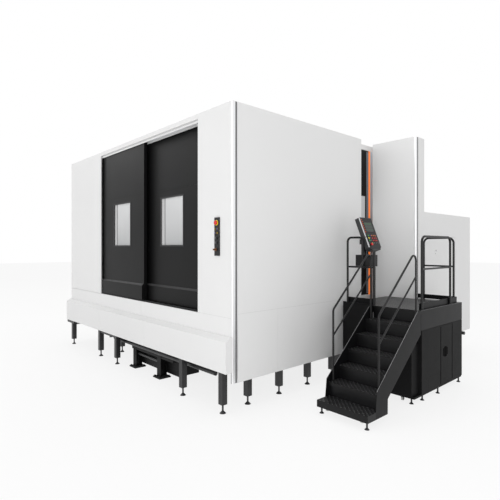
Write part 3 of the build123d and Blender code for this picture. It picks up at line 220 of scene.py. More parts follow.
# Corner mouldings: drawn aluminium, satin. A strip of the rubber finishes laid in
# the channel beside the rounded edge is painted shade for the channel's shadow, gray on the wall and black
# on the tower.
def stretched(place, scale):
    """Coordinates that draw a noise out along one axis, as the lines of drawn metal."""
    return place.make("ShaderNodeMapping", None, {"Vector": place, "Scale": scale})


def coating(name, colour=None, gloss=None, relief=None, stretch=None, **looks):
    """Finish mottled by noise: each of the three starts with its noise's scale, then come
    two colours, the least and most roughness, or the relief's strength and depth."""
    material, surface, place = finish(name, **looks)
    if stretch:
        place = stretched(place, stretch)
    if colour:
        scale, dark, light = colour
        give(surface, "Base Color", blend_colours(noise(place, scale), dark, light))
    if gloss:
        scale, least, most = gloss
        give(surface, "Roughness", between(noise(place, scale), least, most))
    if relief:
        scale, strength, depth = relief
        give(surface, "Normal", bump(noise(place, scale), strength, depth))
    return material


moulding_metal = coating("moulding_metal", gloss=(6.0, 0.24, 0.36), relief=(9.0, 0.06, 0.0005),
                         stretch=(60.0, 60.0, 0.6), Metallic=0.55, Base_Color=(0.86, 0.86, 0.87, 1))
paint(moulding_metal, "corner_trims")
rubber_black = coating("rubber_black", (60.0, (0.012, 0.012, 0.013), (0.022, 0.022, 0.023)),
                       relief=(300.0, 0.2, 0.0004), Roughness=0.7)
rubber_gray = coating("rubber_gray", (60.0, (0.14, 0.14, 0.145), (0.19, 0.19, 0.195)), Roughness=0.6)


def deselect():
    """Leaves nothing selected, so that the next operator acts on one piece."""
    bpy.ops.object.select_all(action="DESELECT")


def settle(piece):
    """Moves a piece's place, turn and size into its mesh, so that the object sits at the origin."""
    deselect()
    piece.select_set(True)
    bpy.context.view_layer.objects.active = piece
    bpy.ops.object.transform_apply(location=True, rotation=True, scale=True)


def round_edges(bevel):
    """Bevels all edges of the piece that was just added."""
    bpy.ops.object.mode_set(mode="EDIT")
    bpy.ops.mesh.select_all(action="SELECT")
    bpy.ops.mesh.bevel(offset=bevel, segments=2, affect="EDGES")
    bpy.ops.object.mode_set(mode="OBJECT")


def slab(name, low, high, material, body, bevel=0.0, place=(0, 0, 0), turn=(0, 0, 0)):
    """A bar or plate between two corners with bevelled edges, turned and moved if asked."""
    deselect()
    centre = [(a + b) / 2 for a, b in zip(low, high)]
    size = [b - a for a, b in zip(low, high)]
    bpy.ops.mesh.primitive_cube_add(size=1, location=centre, scale=size)
    piece = bpy.context.object
    piece.name = name
    settle(piece)
    if bevel:
        round_edges(bevel)
    piece.rotation_euler = turn
    piece.location = place
    settle(piece)
    piece.data.materials.append(material)
    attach(piece, body)
    return piece


STRIP_BACK = 0.0025    # outer face of the cover to the strip
STRIP_THICK = 0.006
STRIP_START = 0.0535   # front of the moulding to the strip
STRIP_WIDE = 0.031
STRIP_SHORT = 0.002    # the strip stops this far from the cover's ends
# Each channel strip is painted shade: a dark sheet where the channel's shadow falls.
for name, cover, front, rubber in (("wall", "right_wall", "pillar_cover", rubber_gray),
                                   ("tower", "magazine_tower", "magazine_tower", rubber_black)):
    low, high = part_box(cover)
    strip_x = high[0] - STRIP_BACK
    strip_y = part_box(front)[0][1] + STRIP_START
    slab(f"{name}_corner_shade_strip", (strip_x - STRIP_THICK, strip_y, low[2] + STRIP_SHORT),
         (strip_x, strip_y + STRIP_WIDE, high[2] - STRIP_SHORT), rubber, "machine", bevel=0.0015)

# Door leaves: folded sheet, sprayed satin black. The kick plate's up-facing bevel is painted lighter, a
# painted highlight where light catches it.
# The windows are laminated glass in a rubber seal, with a pale reveal at the left. The panes' gray, paler
# towards the top, is a painted reflection of the bright room.
HIGHLIGHT_SLOPE = 0.4       # faces whose normal rises more than this get the painted highlight
REFLECTION_FROM = 2.3        # the painted reflection on the panes grows above this height
REFLECTION_RISE = 1.2        # how fast it grows


def facing_up(place, least):
    """1 on faces whose normal rises more than this, 0 on the others."""
    normal = place.make("ShaderNodeNewGeometry", out="Normal")
    rise = normal.make("ShaderNodeSeparateXYZ", None, {"Vector": normal}, "Z")
    return rise.math("GREATER_THAN", least)


def height_of(place):
    """Height over the floor."""
    return place.make("ShaderNodeSeparateXYZ", None, {"Vector": place}, "Z")


door_black, surface, place = finish("door_black", Specular_IOR_Level=0.12)
patches = noise(place, scale=0.5, detail=2.0)
sprayed = blend_colours(patches, (0.004, 0.004, 0.0042), (0.007, 0.007, 0.0073))
# Faces that rise are painted lighter: a painted highlight on the bevels.
painted_top_highlight = blend_colours(facing_up(place, HIGHLIGHT_SLOPE), sprayed, (0.05, 0.05, 0.051))
give(surface, "Base Color", painted_top_highlight)
give(surface, "Roughness", between(noise(place, scale=1.4), 0.36, 0.46))
give(surface, "Normal", bump(noise(place, scale=500.0, detail=2.0), strength=0.1, depth=0.0005))
paint(door_black, "left_door_leaf", "right_door_leaf", "operator_door", "setup_base")
window_glass, surface, place = finish("window_glass", IOR=1.5)
# The panes are painted gray, paler higher up with a few waves: painted reflection of the bright room.
waves = between(noise(place, scale=1.2, detail=1.0), -0.2, 0.2)
upward = (height_of(place) - REFLECTION_FROM) * REFLECTION_RISE + waves
painted_reflection = upward.math("MAXIMUM", 0.0).math("MINIMUM", 1.0)
give(surface, "Base Color", blend_colours(painted_reflection, (0.43, 0.435, 0.44), (0.68, 0.685, 0.69)))
give(surface, "Roughness", between(noise(place, scale=2.5), 0.1, 0.16))
paint(window_glass, "left_door_window", "right_door_window")
reveal_gray = coating("reveal_gray", (3.0, (0.5, 0.5, 0.5), (0.56, 0.56, 0.56)), Roughness=0.5)


def frame_ring(name, low, high, width, depth, material, body):
    """Flat rectangular ring facing the front, cut out of one plate by inset."""
    deselect()
    middle = [(a + b) / 2 for a, b in zip(low, high)]
    front = (middle[0], low[1], middle[2])
    bpy.ops.mesh.primitive_plane_add(size=1, location=front, rotation=(math.pi / 2, 0, 0))
    piece = bpy.context.object
    piece.name = name
    piece.scale = (high[0] - low[0], high[2] - low[2], 1)
    settle(piece)
    bpy.ops.object.mode_set(mode="EDIT")
    bpy.ops.mesh.select_all(action="SELECT")
    bpy.ops.mesh.inset(thickness=width, use_even_offset=True)
    bpy.ops.mesh.delete(type="FACE")
    bpy.ops.mesh.select_all(action="SELECT")
    bpy.ops.mesh.extrude_region_move(TRANSFORM_OT_translate={"value": (0, depth, 0)})
    bpy.ops.mesh.select_all(action="SELECT")
    bpy.ops.mesh.normals_make_consistent(inside=False)
    bpy.ops.object.mode_set(mode="OBJECT")
    piece.data.materials.append(material)
    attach(piece, body)
    return piece


GROOVE = 0.015         # the pane's edge in its groove
PANE_BACK = 0.018      # face of the window's frame to the pane
SEAL_LAP = 0.012       # the seal's outer edge past the groove's edge
SEAL_WIDE = 0.024
SEAL_PROUD = 0.004
SEAL_DEEP = 0.008
LINING_THICK = 0.002   # reveal and gasket lie on the pane
REVEAL_START = 0.018   # from the pane's left edge
REVEAL_END = 0.115
GASKET_END = 0.137
for side, body in (("left", "left_door"), ("right", "right_door")):
    low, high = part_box(f"{side}_door_window")
    seal_y = low[1] - PANE_BACK
    grow = GROOVE - SEAL_LAP
    frame_ring(f"{side}_window_seal", (low[0] + grow, seal_y - SEAL_PROUD, low[2] + grow),
               (high[0] - grow, seal_y, high[2] - grow), SEAL_WIDE, SEAL_DEEP, rubber_black, body)
    for lining, start, end, material in (("reveal", REVEAL_START, REVEAL_END, reveal_gray),
                                         ("gasket", REVEAL_END, GASKET_END, rubber_gray)):
        slab(f"{side}_window_{lining}", (low[0] + start, low[1] - LINING_THICK, low[2] + GROOVE),
             (low[0] + end, low[1], high[2] - GROOVE), material, body)

# Slides: the bed's guide rails, the spindle and the tool drum are bare drawn steel.
# The door tracks are sprayed, black on the sill and white on the guide plate above.
GUIDE_FROM = 3.0       # the tracks are white above this height
ALONG_RAIL = (0.4, 40.0, 40.0)
track_steel = coating("track_steel", gloss=(8.0, 0.22, 0.47), relief=(12.0, 0.1, 0.0005), stretch=ALONG_RAIL,
                      Metallic=1.0, Base_Color=(0.56, 0.57, 0.58, 1))
paint(track_steel, "guide_rails", "tool_drum", "spindle")
track_paint, surface, place = finish("track_paint", Roughness=0.4)
high_up = height_of(place).math("GREATER_THAN", GUIDE_FROM)
give(surface, "Base Color", blend_colours(high_up, (0.01, 0.01, 0.011), (0.8, 0.8, 0.8)))
lines = noise(stretched(place, ALONG_RAIL), scale=12.0)
give(surface, "Normal", bump(lines, strength=0.1, depth=0.0005))
paint(track_paint, "door_tracks")

# Tube frame, legs and feet of the covers: welded square tube.
# The frame is primed gray, the legs and pipes are sprayed black and worn in spots.
frame_primer = coating("frame_primer", (6.0, (0.42, 0.43, 0.44), (0.5, 0.51, 0.52)),
                       relief=(150.0, 0.15, 0.0005), Roughness=0.5)
paint(frame_primer, "cover_frame")
leg_black, surface, place = finish("leg_black")
spots = noise(place, scale=25.0, detail=6.0)
worn = spots.make("ShaderNodeValToRGB", {"stops": ((0.62, 0.0), (0.72, 1.0))}, {"Fac": spots})
give(surface, "Base Color", blend_colours(worn, (0.010, 0.010, 0.011), (0.03, 0.03, 0.031)))
give(surface, "Roughness", between(worn, 0.4, 0.55))
give(surface, "Normal", bump(noise(place, scale=260.0), strength=0.15, depth=0.0005))
paint(leg_black, "cover_legs", "levelling_feet", "under_pipes")

# Castings inside: grey iron, filled and enamelled, machined on top.
# Pallets and turntable are bare ground iron with a light oil film.
casting_enamel, surface, place = finish("casting_enamel", Roughness=0.45)
give(surface, "Base Color", blend_colours(noise(place, scale=2.0), (0.33, 0.35, 0.36), (0.4, 0.42, 0.43)))
give(surface, "Normal", bump(noise(place, scale=35.0, detail=6.0), strength=0.25, depth=0.002))
paint(casting_enamel, "machine_bed", "table_saddle", "column", "spindle_head")
paint(casting_enamel, "changer_base", "changer_fork")
ground_iron = coating("ground_iron", gloss=(7.0, 0.28, 0.48), relief=(9.0, 0.12, 0.0006),
                      stretch=(4.0, 90.0, 10.0), Metallic=0.9, Base_Color=(0.42, 0.42, 0.43, 1))
paint(ground_iron, "rotary_table", "machining_pallet", "setup_pallet")

# Stairs and platform: folded plate, sprayed black, with checker plate on top.
# The raised bars change direction from one square to the next, and are painted much lighter than the plate:
# a painted highlight where they catch the light.
LEVEL = 0.9            # bars stand on faces whose normal rises more than this
SQUARES = 15.0         # squares to a metre of x + y and of x - y
BAR_LONG = 5.0         # how fast a bar falls off along its length
BAR_NARROW = 60.0      # the same across it
BAR_GRAIN = 0.06       # height of the spray's grain beside that of a bar


def checker_plate(place):
    """Height of the raised bars on level faces."""
    x = place.make("ShaderNodeSeparateXYZ", None, {"Vector": place}, "X")
    y = place.make("ShaderNodeSeparateXYZ", None, {"Vector": place}, "Y")
    u = (x + y) * SQUARES
    v = (x - y) * SQUARES
    odd = (u.math("FLOOR") + v.math("FLOOR")).math("PINGPONG", 1.0)
    along = u.math("FRACT") - 0.5
    across = v.math("FRACT") - 0.5
    one_way = along * along * BAR_LONG + across * across * BAR_NARROW
    other_way = along * along * BAR_NARROW + across * across * BAR_LONG
    bar = 1.0 - (one_way + (other_way - one_way) * odd)
    return bar.math("MAXIMUM", 0.0) * facing_up(place, LEVEL)


plate_black, surface, place = finish("plate_black", Specular_IOR_Level=0.22)
bars_and_highlight = checker_plate(place)
# The bars' pale colour is a painted highlight; the same bars give the relief.
give(surface, "Base Color", blend_colours(bars_and_highlight, (0.0055, 0.0055, 0.006), (0.22, 0.22, 0.223)))
give(surface, "Roughness", between(noise(place, scale=9.0), 0.3, 0.42))
give(surface, "Normal", bump(bars_and_highlight + noise(place, scale=240.0) * BAR_GRAIN, strength=0.5, depth=0.0015))
paint(plate_black, "stair_treads", "platform_deck")
stair_black = coating("stair_black", (1.5, (0.0035, 0.0035, 0.004), (0.007, 0.007, 0.0075)),
                      gloss=(4.0, 0.32, 0.44), relief=(300.0, 0.1, 0.0005), Specular_IOR_Level=0.12)
paint(stair_black, "stair_stringers", "platform_frame")

# Cabinet below the platform: textured black sheet, duller than the stairs.
# Its latch is a black paddle in a sunk pocket, with a key barrel in its lower part.
cabinet_black, surface, place = finish("cabinet_black", Specular_IOR_Level=0.08)
tone = noise(place, scale=1.1)
give(surface, "Base Color", blend_colours(tone, (0.007, 0.007, 0.0073), (0.0105, 0.0105, 0.0108)))
give(surface, "Roughness", between(noise(place, scale=5.0), 0.5, 0.6))
give(surface, "Normal", bump(noise(place, scale=420.0, detail=2.0), strength=0.3, depth=0.0006))
paint(cabinet_black, "platform_cabinet", "cabinet_door")
zinc_dark = coating("zinc_dark", (30.0, (0.05, 0.05, 0.052), (0.1, 0.1, 0.104)), gloss=(14.0, 0.35, 0.5),
                    Metallic=1.0)
# Near-black finish of the latch paddle and its bezel, and painted shade in the pocket and the door's seams.
paddle_black_and_shade = coating("paddle_black_and_shade", (80.0, (0.0005, 0.0005, 0.0006), (0.0012, 0.0012, 0.0013)),
                     relief=(300.0, 0.2, 0.0004), Specular_IOR_Level=0.05, Roughness=0.8)
paint(paddle_black_and_shade, "cabinet_latch")


def disc(name, centre, radius, depth, axis, material, body, sides=48, bevel=0.0):
    """A short round bar about one axis, its rim bevelled where asked."""
    deselect()
    turn = {"X": (0, math.pi / 2, 0), "Y": (math.pi / 2, 0, 0), "Z": (0, 0, 0)}[axis]
    bpy.ops.mesh.primitive_cylinder_add(vertices=sides, radius=radius, depth=depth, location=centre,
                                        rotation=turn)
    piece = bpy.context.object
    piece.name = name
    settle(piece)
    if bevel:
        round_edges(bevel)
    bpy.ops.object.shade_smooth_by_angle(angle=math.radians(40))
    piece.data.materials.append(material)
    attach(piece, body)
    return piece


def join(name, parts):
    """Joins like parts into one piece that keeps the first part's body."""
    deselect()
    for part in parts:
        part.select_set(True)
    bpy.context.view_layer.objects.active = parts[0]
    if len(parts) > 1:
        bpy.ops.object.join()
    parts[0].name = name


leaf_low, leaf_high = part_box("cabinet_door")
latch_low, latch_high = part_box("cabinet_latch")
leaf_x = leaf_high[0]
POCKET_DEEP = 0.017    # the leaf's face to the pocket's floor
LINING = 0.0003        # thickness of the near-black sheet on the floor, painted shade
POCKET_IN = 0.006      # the pocket is this much narrower than the paddle on each side
POCKET_BELOW = 0.0185  # lower edge of the paddle to the pocket's
POCKET_HIGH = 0.152
pocket_x = leaf_x - POCKET_DEEP
pocket_z = latch_low[2] - POCKET_BELOW
# The pocket's floor gets a near-black sheet: painted shade for the pocket's shadow.
slab("latch_pocket_shade", (pocket_x, latch_low[1] + POCKET_IN, pocket_z),
     (pocket_x + LINING, latch_high[1] - POCKET_IN, pocket_z + POCKET_HIGH), paddle_black_and_shade, "cabinet_leaf")
BARREL_BACK = 0.0055   # the leaf's face to the middle of the key barrel
BARREL_UP = 0.0285     # lower edge of the paddle to the key barrel
barrel = (leaf_x - BARREL_BACK, (latch_low[1] + latch_high[1]) / 2, latch_low[2] + BARREL_UP)
disc("latch_barrel", barrel, 0.007, 0.003, "X", zinc_dark, "latch", sides=32, bevel=0.0008)
# Near-black strips beside the leaf's edges are painted shade, darkening the seams' gaps.
SEAM_SHADE_THICK = 0.0004
SEAM_SHADE_Z = (0.14, 1.0)
for edge, y0, y1 in (("free", leaf_low[1], leaf_low[1] + 0.025),
                     ("hinge", leaf_high[1] - 0.017, leaf_high[1] - 0.001)):
    slab(f"door_gasket_{edge}", (leaf_x, y0, SEAM_SHADE_Z[0]), (leaf_x + SEAM_SHADE_THICK, y1, SEAM_SHADE_Z[1]),
         paddle_black_and_shade, "cabinet_leaf")
BEZEL_THICK = 0.0006
BEZEL_HIGH = 0.115
BEZEL_GAP = 0.001      # paddle to the bezel beside it
BEZEL_REACH = 0.035    # paddle to the bezel's outer edge
wings = []
for y0, y1 in ((latch_low[1] - BEZEL_REACH, latch_low[1] - BEZEL_GAP),
               (latch_high[1] + BEZEL_GAP, latch_high[1] + BEZEL_REACH)):
    wings.append(slab("bezel_side", (leaf_x, y0, latch_low[2]),
                      (leaf_x + BEZEL_THICK, y1, latch_low[2] + BEZEL_HIGH), paddle_black_and_shade, "cabinet_leaf",
                      bevel=0.0002))
join("latch_bezel", wings)

# Guard hoops, stair rails and the console's post: bent round tube, sprayed
# black over the welds, with a collar on each foot. Pale strips on the stringers' top edges and along the
# deck's edge are painted highlights.
rail_black = coating("rail_black", (7.0, (0.004, 0.004, 0.0045), (0.009, 0.009, 0.0095)),
                     gloss=(12.0, 0.3, 0.4), relief=(200.0, 0.08, 0.0004), Specular_IOR_Level=0.3)
paint(rail_black, "stair_rails", "guard_hoops", "console_bracket")
# Pale strips on the stringers' top edges and the deck's edge: painted highlights where those edges catch the
# light.
edge_highlight = coating("edge_highlight", (9.0, (0.16, 0.16, 0.165), (0.34, 0.34, 0.345)), gloss=(20.0, 0.25, 0.35),
                    Metallic=0.3)
EDGE_IN = 0.004        # side of the stringer to the middle of its painted highlight
EDGE_WIDE = 0.006
EDGE_HIGH = 0.0012
EDGE_FOOT = (-1.838, 0.4221)     # depth and height of its lower end
EDGE_HEAD = (-0.7821, 1.3063)
edge_deep = EDGE_HEAD[0] - EDGE_FOOT[0]
edge_rise = EDGE_HEAD[1] - EDGE_FOOT[1]
edge_half = math.hypot(edge_deep, edge_rise) / 2
edge_turn = (math.atan2(edge_rise, edge_deep), 0, 0)
edge_middle = [(foot + head) / 2 for foot, head in zip(EDGE_FOOT, EDGE_HEAD)]
stringer_low, stringer_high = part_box("stair_stringers")
for side, x in (("left", stringer_low[0] + EDGE_IN), ("right", stringer_high[0] - EDGE_IN)):
    slab(f"{side}_stringer_highlight", (-EDGE_WIDE / 2, -edge_half, 0), (EDGE_WIDE / 2, edge_half, EDGE_HIGH),
         edge_highlight, "machine", bevel=EDGE_HIGH / 4, place=(x, *edge_middle), turn=edge_turn)
deck_low, deck_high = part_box("platform_deck")
deck_z = deck_high[2]
LEDGE_X = (deck_high[0] - 0.008, deck_high[0] - 0.0005)
LEDGE_Y = (deck_low[1] + 0.01, deck_high[1] - 0.005)
LEDGE_HIGH = 0.001
slab("deck_ledge_highlight", (LEDGE_X[0], LEDGE_Y[0], deck_z), (LEDGE_X[1], LEDGE_Y[1], deck_z + LEDGE_HIGH),
     edge_highlight, "machine")
HOOP_TUBE = 0.017
COLLAR_WIDE = 0.008    # tube to the collar's rim
COLLAR_HIGH = 0.006
SCREW = 0.003          # radius and height of a screw's head
HOOP_FEET = {"front_left": (2.42, -0.666), "side_front": (3.634, -0.605), "side_rear": (3.634, 0.35),
             "rear_left": (3.06, 0.665), "rear_right": (3.56, 0.665)}
for name, (x, y) in HOOP_FEET.items():
    centre = (x, y, deck_z + COLLAR_HIGH / 2)
    parts = [disc("rim", centre, HOOP_TUBE + COLLAR_WIDE, COLLAR_HIGH, "Z", rail_black, "machine",
                  sides=40, bevel=0.0012)]
    for side in (-1, 1):
        screw = (x, y + side * (HOOP_TUBE + COLLAR_WIDE / 2), deck_z + COLLAR_HIGH + SCREW / 2)
        parts.append(disc("screw", screw, SCREW, SCREW, "Z", zinc_dark, "machine", sides=6))
    join(f"{name}_collar", parts)

# Operator's doorway: a sheet of laminated glass in the black door, painted pale as a painted reflection of
# the bright room, a blue-gray edge profile, and the orange signal strip with its diffuser and pale edge.
# The glass is painted pale: a painted reflection of the bright room.
operator_glass_reflection, surface, place = finish("operator_glass_reflection", Roughness=0.12, Coat_Weight=0.5)
tone = noise(place, scale=1.5, detail=1.0)
give(surface, "Base Color", blend_colours(tone, (0.6, 0.62, 0.63), (0.72, 0.73, 0.74)))
paint(operator_glass_reflection, "operator_window")
edge_blue = coating("edge_blue", (5.0, (0.13, 0.17, 0.21), (0.18, 0.23, 0.27)), gloss=(20.0, 0.3, 0.4))
PROFILE_X = (1.990, 1.993)
PROFILE_WIDE = 0.07
PROFILE_IN = 0.001     # rear edge of the door to the profile
PROFILE_SHORT = 0.02   # the profile stops this far from the door's ends
door_low, door_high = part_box("operator_door")
profile_y = door_high[1] - PROFILE_IN
slab("door_edge_profile", (PROFILE_X[0], profile_y - PROFILE_WIDE, door_low[2] + PROFILE_SHORT),
     (PROFILE_X[1], profile_y, door_high[2] - PROFILE_SHORT), edge_blue, "operator_leaf", bevel=0.0008)
signal_orange, surface, place = finish("signal_orange", Roughness=0.3, Emission_Strength=0.55)
bright = noise(place, scale=3.0)
give(surface, "Base Color", blend_colours(bright, (0.85, 0.2, 0.03), (0.95, 0.27, 0.05)))
give(surface, "Emission Color", blend_colours(bright, (0.85, 0.19, 0.03), (1.0, 0.25, 0.05)))
paint(signal_orange, "light_strip")
pale_blue = coating("pale_blue", (4.0, (0.5, 0.62, 0.7), (0.6, 0.72, 0.8)), Roughness=0.35)
light_low, light_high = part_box("light_strip")
light_x = light_high[0] - 0.001
DIFFUSER_Y = (0.6635, 0.695)
DIFFUSER_OUT = 0.0035
PALE_EDGE_Y = (0.6955, 0.76)
PALE_EDGE_OUT = 0.0025
slab("signal_diffuser", (light_x, DIFFUSER_Y[0], light_low[2]),
     (light_x + DIFFUSER_OUT, DIFFUSER_Y[1], light_high[2]), signal_orange, "machine", bevel=0.001)
slab("signal_edge", (light_x, PALE_EDGE_Y[0], light_low[2]),
     (light_x + PALE_EDGE_OUT, PALE_EDGE_Y[1], light_high[2]), pale_blue, "machine", bevel=0.0008)

# Pale strips lie in the seams of the right wall and of the sill,
# a little behind the covers: painted light in the gaps, so that their shade shows only as thin soft lines.
seam_light = coating("seam_light", (50.0, (0.6, 0.6, 0.6), (0.68, 0.68, 0.675)), gloss=(80.0, 0.55, 0.65))
SEAM_LIGHT_SHORT = 0.002     # a strip stops this far from the cover's ends
SEAM_LIGHT_BACK = 0.001      # face of the covers to the strip
SEAM_LIGHT_REAR = 0.01       # face of the covers to the strip's rear
WALL_SEAM_LIGHT_Z = (1.3102, 1.3138)
SILL_SEAM_LIGHT_Z = (1.2594, 1.2626)
wall_low, wall_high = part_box("right_wall")
slab("right_wall_seam_light", (wall_high[0] - SEAM_LIGHT_REAR, wall_low[1] + SEAM_LIGHT_SHORT, WALL_SEAM_LIGHT_Z[0]),
     (wall_high[0] - SEAM_LIGHT_BACK, wall_high[1] - SEAM_LIGHT_SHORT, WALL_SEAM_LIGHT_Z[1]), seam_light, "machine")
pillar_low, pillar_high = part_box("pillar_cover")
slab("sill_seam_light", (pillar_low[0] + SEAM_LIGHT_SHORT, pillar_low[1] + SEAM_LIGHT_BACK, SILL_SEAM_LIGHT_Z[0]),
     (pillar_high[0] - SEAM_LIGHT_SHORT, pillar_low[1] + SEAM_LIGHT_REAR, SILL_SEAM_LIGHT_Z[1]), seam_light, "machine")

# Control strip: black moulded housing with an emergency stop, four pilot
# lamps, two gray buttons and a key switch with a brass key.
strip_black = coating("strip_black", (40.0, (0.008, 0.008, 0.009), (0.014, 0.014, 0.015)),
                      gloss=(60.0, 0.4, 0.5), Specular_IOR_Level=0.3)
paint(strip_black, "control_strip")


def plastic(name, dark, light, rough=0.32, **looks):
    """Moulded plastic of one colour with a faint flow pattern."""
    return coating(name, (45.0, dark, light), gloss=(90.0, rough, rough + 0.08), **looks)


def middle(node):
    """Centre of a CAD node's box."""
    low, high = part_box(node)
    return [(a + b) / 2 for a, b in zip(low, high)]


stop_red = plastic("stop_red", (0.55, 0.008, 0.008), (0.68, 0.014, 0.012))
ring_yellow = plastic("ring_yellow", (0.8, 0.62, 0.01), (0.9, 0.72, 0.02))
lamp_yellow = plastic("lamp_yellow", (0.16, 0.1, 0.01), (0.22, 0.14, 0.015), rough=0.2)
lamp_blue = plastic("lamp_blue", (0.015, 0.03, 0.16), (0.02, 0.045, 0.24), rough=0.2)
button_gray = plastic("button_gray", (0.035, 0.036, 0.038), (0.055, 0.056, 0.058))
key_brass = plastic("key_brass", (0.14, 0.06, 0.025), (0.2, 0.085, 0.035), Metallic=0.4)
paint(stop_red, "strip_stop_button", "console_stop_button")
paint(lamp_yellow, "strip_lamps")
paint(button_gray, "start_button", "release_button")
paint(key_brass, "key_switch")
RING_THICK = 0.003
STOP_RING_THICK = 0.004
LENS_THICK = 0.003
LENS_OUT = 0.0095      # face of the strip to the middle of a lamp's lens
LAMP_APART = 0.024     # middle of the strip to a lamp
LAMP_Z = (2.453, 2.398)
strip_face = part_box("control_strip")[0][1]
strip_x = middle("control_strip")[0]
disc("stop_ring", (strip_x, strip_face - STOP_RING_THICK / 2, middle("strip_stop_button")[2]), 0.0375,
     STOP_RING_THICK, "Y", ring_yellow, "machine", sides=56, bevel=0.001)
for z, colours in zip(LAMP_Z, ((lamp_yellow, lamp_blue), (lamp_blue, lamp_yellow))):
    for x, material in zip((strip_x - LAMP_APART, strip_x + LAMP_APART), colours):
        disc(f"lamp_lens_{x * 1000:.0f}_{z * 1000:.0f}", (x, strip_face - LENS_OUT, z), 0.0125, LENS_THICK,
             "Y", material, "machine", sides=32, bevel=0.001)
for node in ("start_button", "release_button"):
    z = middle(node)[2]
    disc(f"button_ring_{z * 1000:.0f}", (strip_x, strip_face - RING_THICK / 2, z), 0.0235, RING_THICK, "Y",
         zinc_dark, "machine", sides=40, bevel=0.0008)
disc("key_ring", (strip_x, strip_face - RING_THICK / 2, middle("key_switch")[2]), 0.026, RING_THICK, "Y",
     zinc_dark, "machine", sides=40, bevel=0.0008)

# Console: dark moulded shell with a silver rail down each side, a black
# front with a lit screen, coloured keycaps and a column of small lamps.
MM = 0.001
FACE = (2.73, -0.477, 2.425)     # a point on the front, where its own measures start
TILT = math.radians(-21.8)
shell_dark = plastic("shell_dark", (0.02, 0.021, 0.022), (0.03, 0.031, 0.032), rough=0.42)
paint(shell_dark, "console_housing")
face_black = coating("face_black", (50.0, (0.004, 0.004, 0.005), (0.009, 0.009, 0.01)),
                     gloss=(30.0, 0.3, 0.38), Specular_IOR_Level=0.25)
paint(face_black, "console_face")


def on_face(name, low, high, material, bevel=0.0):
    """A plate given in millimetres: out from the face, across it and up it."""
    return slab(name, [v * MM for v in low], [v * MM for v in high], material, "console", bevel * MM,
                place=FACE, turn=(0, TILT, 0))


silver = coating("silver", gloss=(40.0, 0.28, 0.38), Metallic=1.0, Base_Color=(0.78, 0.79, 0.8, 1))
RAIL_OUT = (-20, -1)
RAIL_LENGTHS = ((-52, 276), (-232, -66))
for side, y0, y1 in (("near", -167.5, -165), ("far", 165, 167.5)):
    parts = []
    for z0, z1 in RAIL_LENGTHS:
        parts.append(on_face("rail", (RAIL_OUT[0], y0, z0), (RAIL_OUT[1], y1, z1), silver, bevel=0.6))
    join(f"console_rail_{side}", parts)
screen_lit, surface, place = finish("screen_lit", Roughness=0.12, Emission_Strength=0.4,
                                    Base_Color=(0.001, 0.002, 0.0015, 1))
rows = place.make("ShaderNodeMapping", None, {"Vector": place, "Rotation": (math.pi / 2, 0, math.pi / 2)})
blocks = {"Vector": rows, "Scale": 1.0, "Mortar Size": 0.004, "Brick Width": 0.05, "Row Height": 0.02,
          "Color1": (0.0, 0.1, 0.01, 1), "Color2": (0.003, 0.03, 0.03, 1),
          "Mortar": (0.001, 0.003, 0.002, 1)}
give(surface, "Emission Color", rows.make("ShaderNodeTexBrick", {"offset": 0.35}, blocks))
SCREEN_HALF = 108
SCREEN_Z = (27, 193)
SCREEN_OUT = (3, 3.6)
on_face("screen_picture", (SCREEN_OUT[0], -SCREEN_HALF, SCREEN_Z[0]),
        (SCREEN_OUT[1], SCREEN_HALF, SCREEN_Z[1]), screen_lit)
cap_finish = {
    "red": plastic("key_red", (0.4, 0.01, 0.01), (0.5, 0.02, 0.015)),
    "yellow": ring_yellow,
    "green": plastic("key_green", (0.02, 0.28, 0.05), (0.04, 0.36, 0.08)),
    "slate": plastic("key_slate", (0.05, 0.055, 0.06), (0.08, 0.085, 0.09)),
    "orange": plastic("key_orange", (0.4, 0.09, 0.015), (0.5, 0.13, 0.025)),
    "blue": plastic("key_blue", (0.02, 0.04, 0.2), (0.03, 0.06, 0.28)),
}
KEY_ROWS = (("green", "blue", "orange", "orange", "orange"),
            ("yellow", "slate", "red", "red", "red"),
            ("green", "slate", "red", "red", "red"),
            ("green", "slate", "slate", "slate"))
FIRST_KEY = (-110, -40)
LAST_ROW_IN = 60       # the last row starts further in, beside the stop button
KEY_PITCH = 50
ROW_PITCH = 42
CAP_HALF = (15, 11)
CAP_OUT = (6, 7.4)
caps = {colour: [] for colour in cap_finish}
for row, colours in enumerate(KEY_ROWS):
    z = FIRST_KEY[1] - ROW_PITCH * row
    row_start = FIRST_KEY[0] + (LAST_ROW_IN if row == len(KEY_ROWS) - 1 else 0)
    for number, colour in enumerate(colours):
        y = row_start + KEY_PITCH * number
        low = (CAP_OUT[0], y - CAP_HALF[0], z - CAP_HALF[1])
        high = (CAP_OUT[1], y + CAP_HALF[0], z + CAP_HALF[1])
        caps[colour].append(on_face("cap", low, high, cap_finish[colour], bevel=0.5))
for colour, parts in caps.items():
    join(f"{colour}_keycaps", parts)
pilot_red, surface, place = finish("pilot_red", Roughness=0.2, Emission_Strength=0.7)
ember = blend_colours(noise(place, scale=30.0), (0.6, 0.05, 0.01), (0.8, 0.12, 0.02))
give(surface, "Base Color", ember)
give(surface, "Emission Color", ember)
PILOT_Y = (-143, -128)
PILOT_HALF = 6
PILOT_OUT = 2
pilots = []
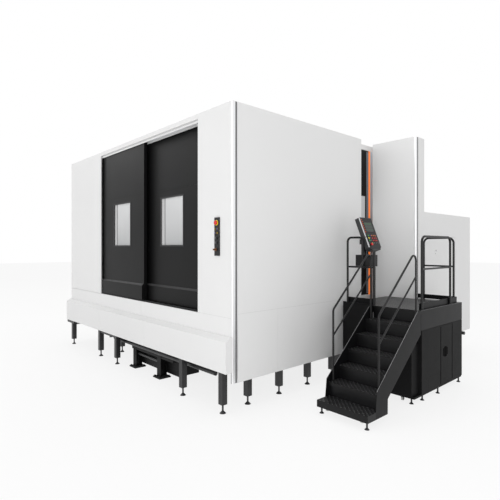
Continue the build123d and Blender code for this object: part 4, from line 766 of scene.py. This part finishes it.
for z in range(25, 236, 35):
    pilots.append(on_face("pilot", (0, PILOT_Y[0], z - PILOT_HALF), (PILOT_OUT, PILOT_Y[1], z + PILOT_HALF),
                          pilot_red, bevel=0.5))
join("console_pilots", pilots)

# Rear box: its service door has a cylinder lock with a slot, and a small
# dark cap below the lock, both set in the sheet near the door's free edge.
lock_chrome = coating("lock_chrome", gloss=(60.0, 0.2, 0.32), Metallic=1.0, Base_Color=(0.5, 0.5, 0.51, 1))
LOCK_Z = 2.144
CAP_Z = 2.09
CAP_BACK = 0.0075      # the door's face to the middle of the cap
LOCK_IN = 0.06         # free edge of the door to the lock
LOCK_OUT = 0.001       # the door's face to the middle of the lock's body
LOCK_THICK = 0.003
SLOT_OUT = (0.0025, 0.003)
SLOT_HALF = (0.0015, 0.008)
service_low, service_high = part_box("service_door")
service_x = service_high[0]
lock_y = service_low[1] + LOCK_IN
disc("lock_body", (service_x + LOCK_OUT, lock_y, LOCK_Z), 0.017, LOCK_THICK, "X", lock_chrome,
     "service_leaf", sides=40, bevel=0.0008)
slab("lock_slot", (service_x + SLOT_OUT[0], lock_y - SLOT_HALF[0], LOCK_Z - SLOT_HALF[1]),
     (service_x + SLOT_OUT[1], lock_y + SLOT_HALF[0], LOCK_Z + SLOT_HALF[1]), rubber_black, "service_leaf")
disc("lock_cap", (service_x - CAP_BACK, lock_y, CAP_Z), 0.006, LOCK_THICK, "X", rubber_black,
     "service_leaf", sides=32, bevel=0.0006)

# Casters: cast wheels with a pale tread, pulled up clear of the floor.
# Each turns on a zinc pin between the forks.
wheel_pale = plastic("wheel_pale", (0.5, 0.5, 0.49), (0.62, 0.62, 0.6), rough=0.4)
HUB_OUT = 0.0135       # middle of the wheel to the middle of its hub cap
for name in ("front_left", "front_right", "rear"):
    paint(wheel_pale, f"caster_wheel_{name}")
    x, y, z = middle(f"caster_wheel_{name}")
    disc(f"{name}_hub_cap", (x + HUB_OUT, y, z), 0.011, 0.002, "X", zinc_dark, f"wheel_{name}", sides=32,
         bevel=0.0005)
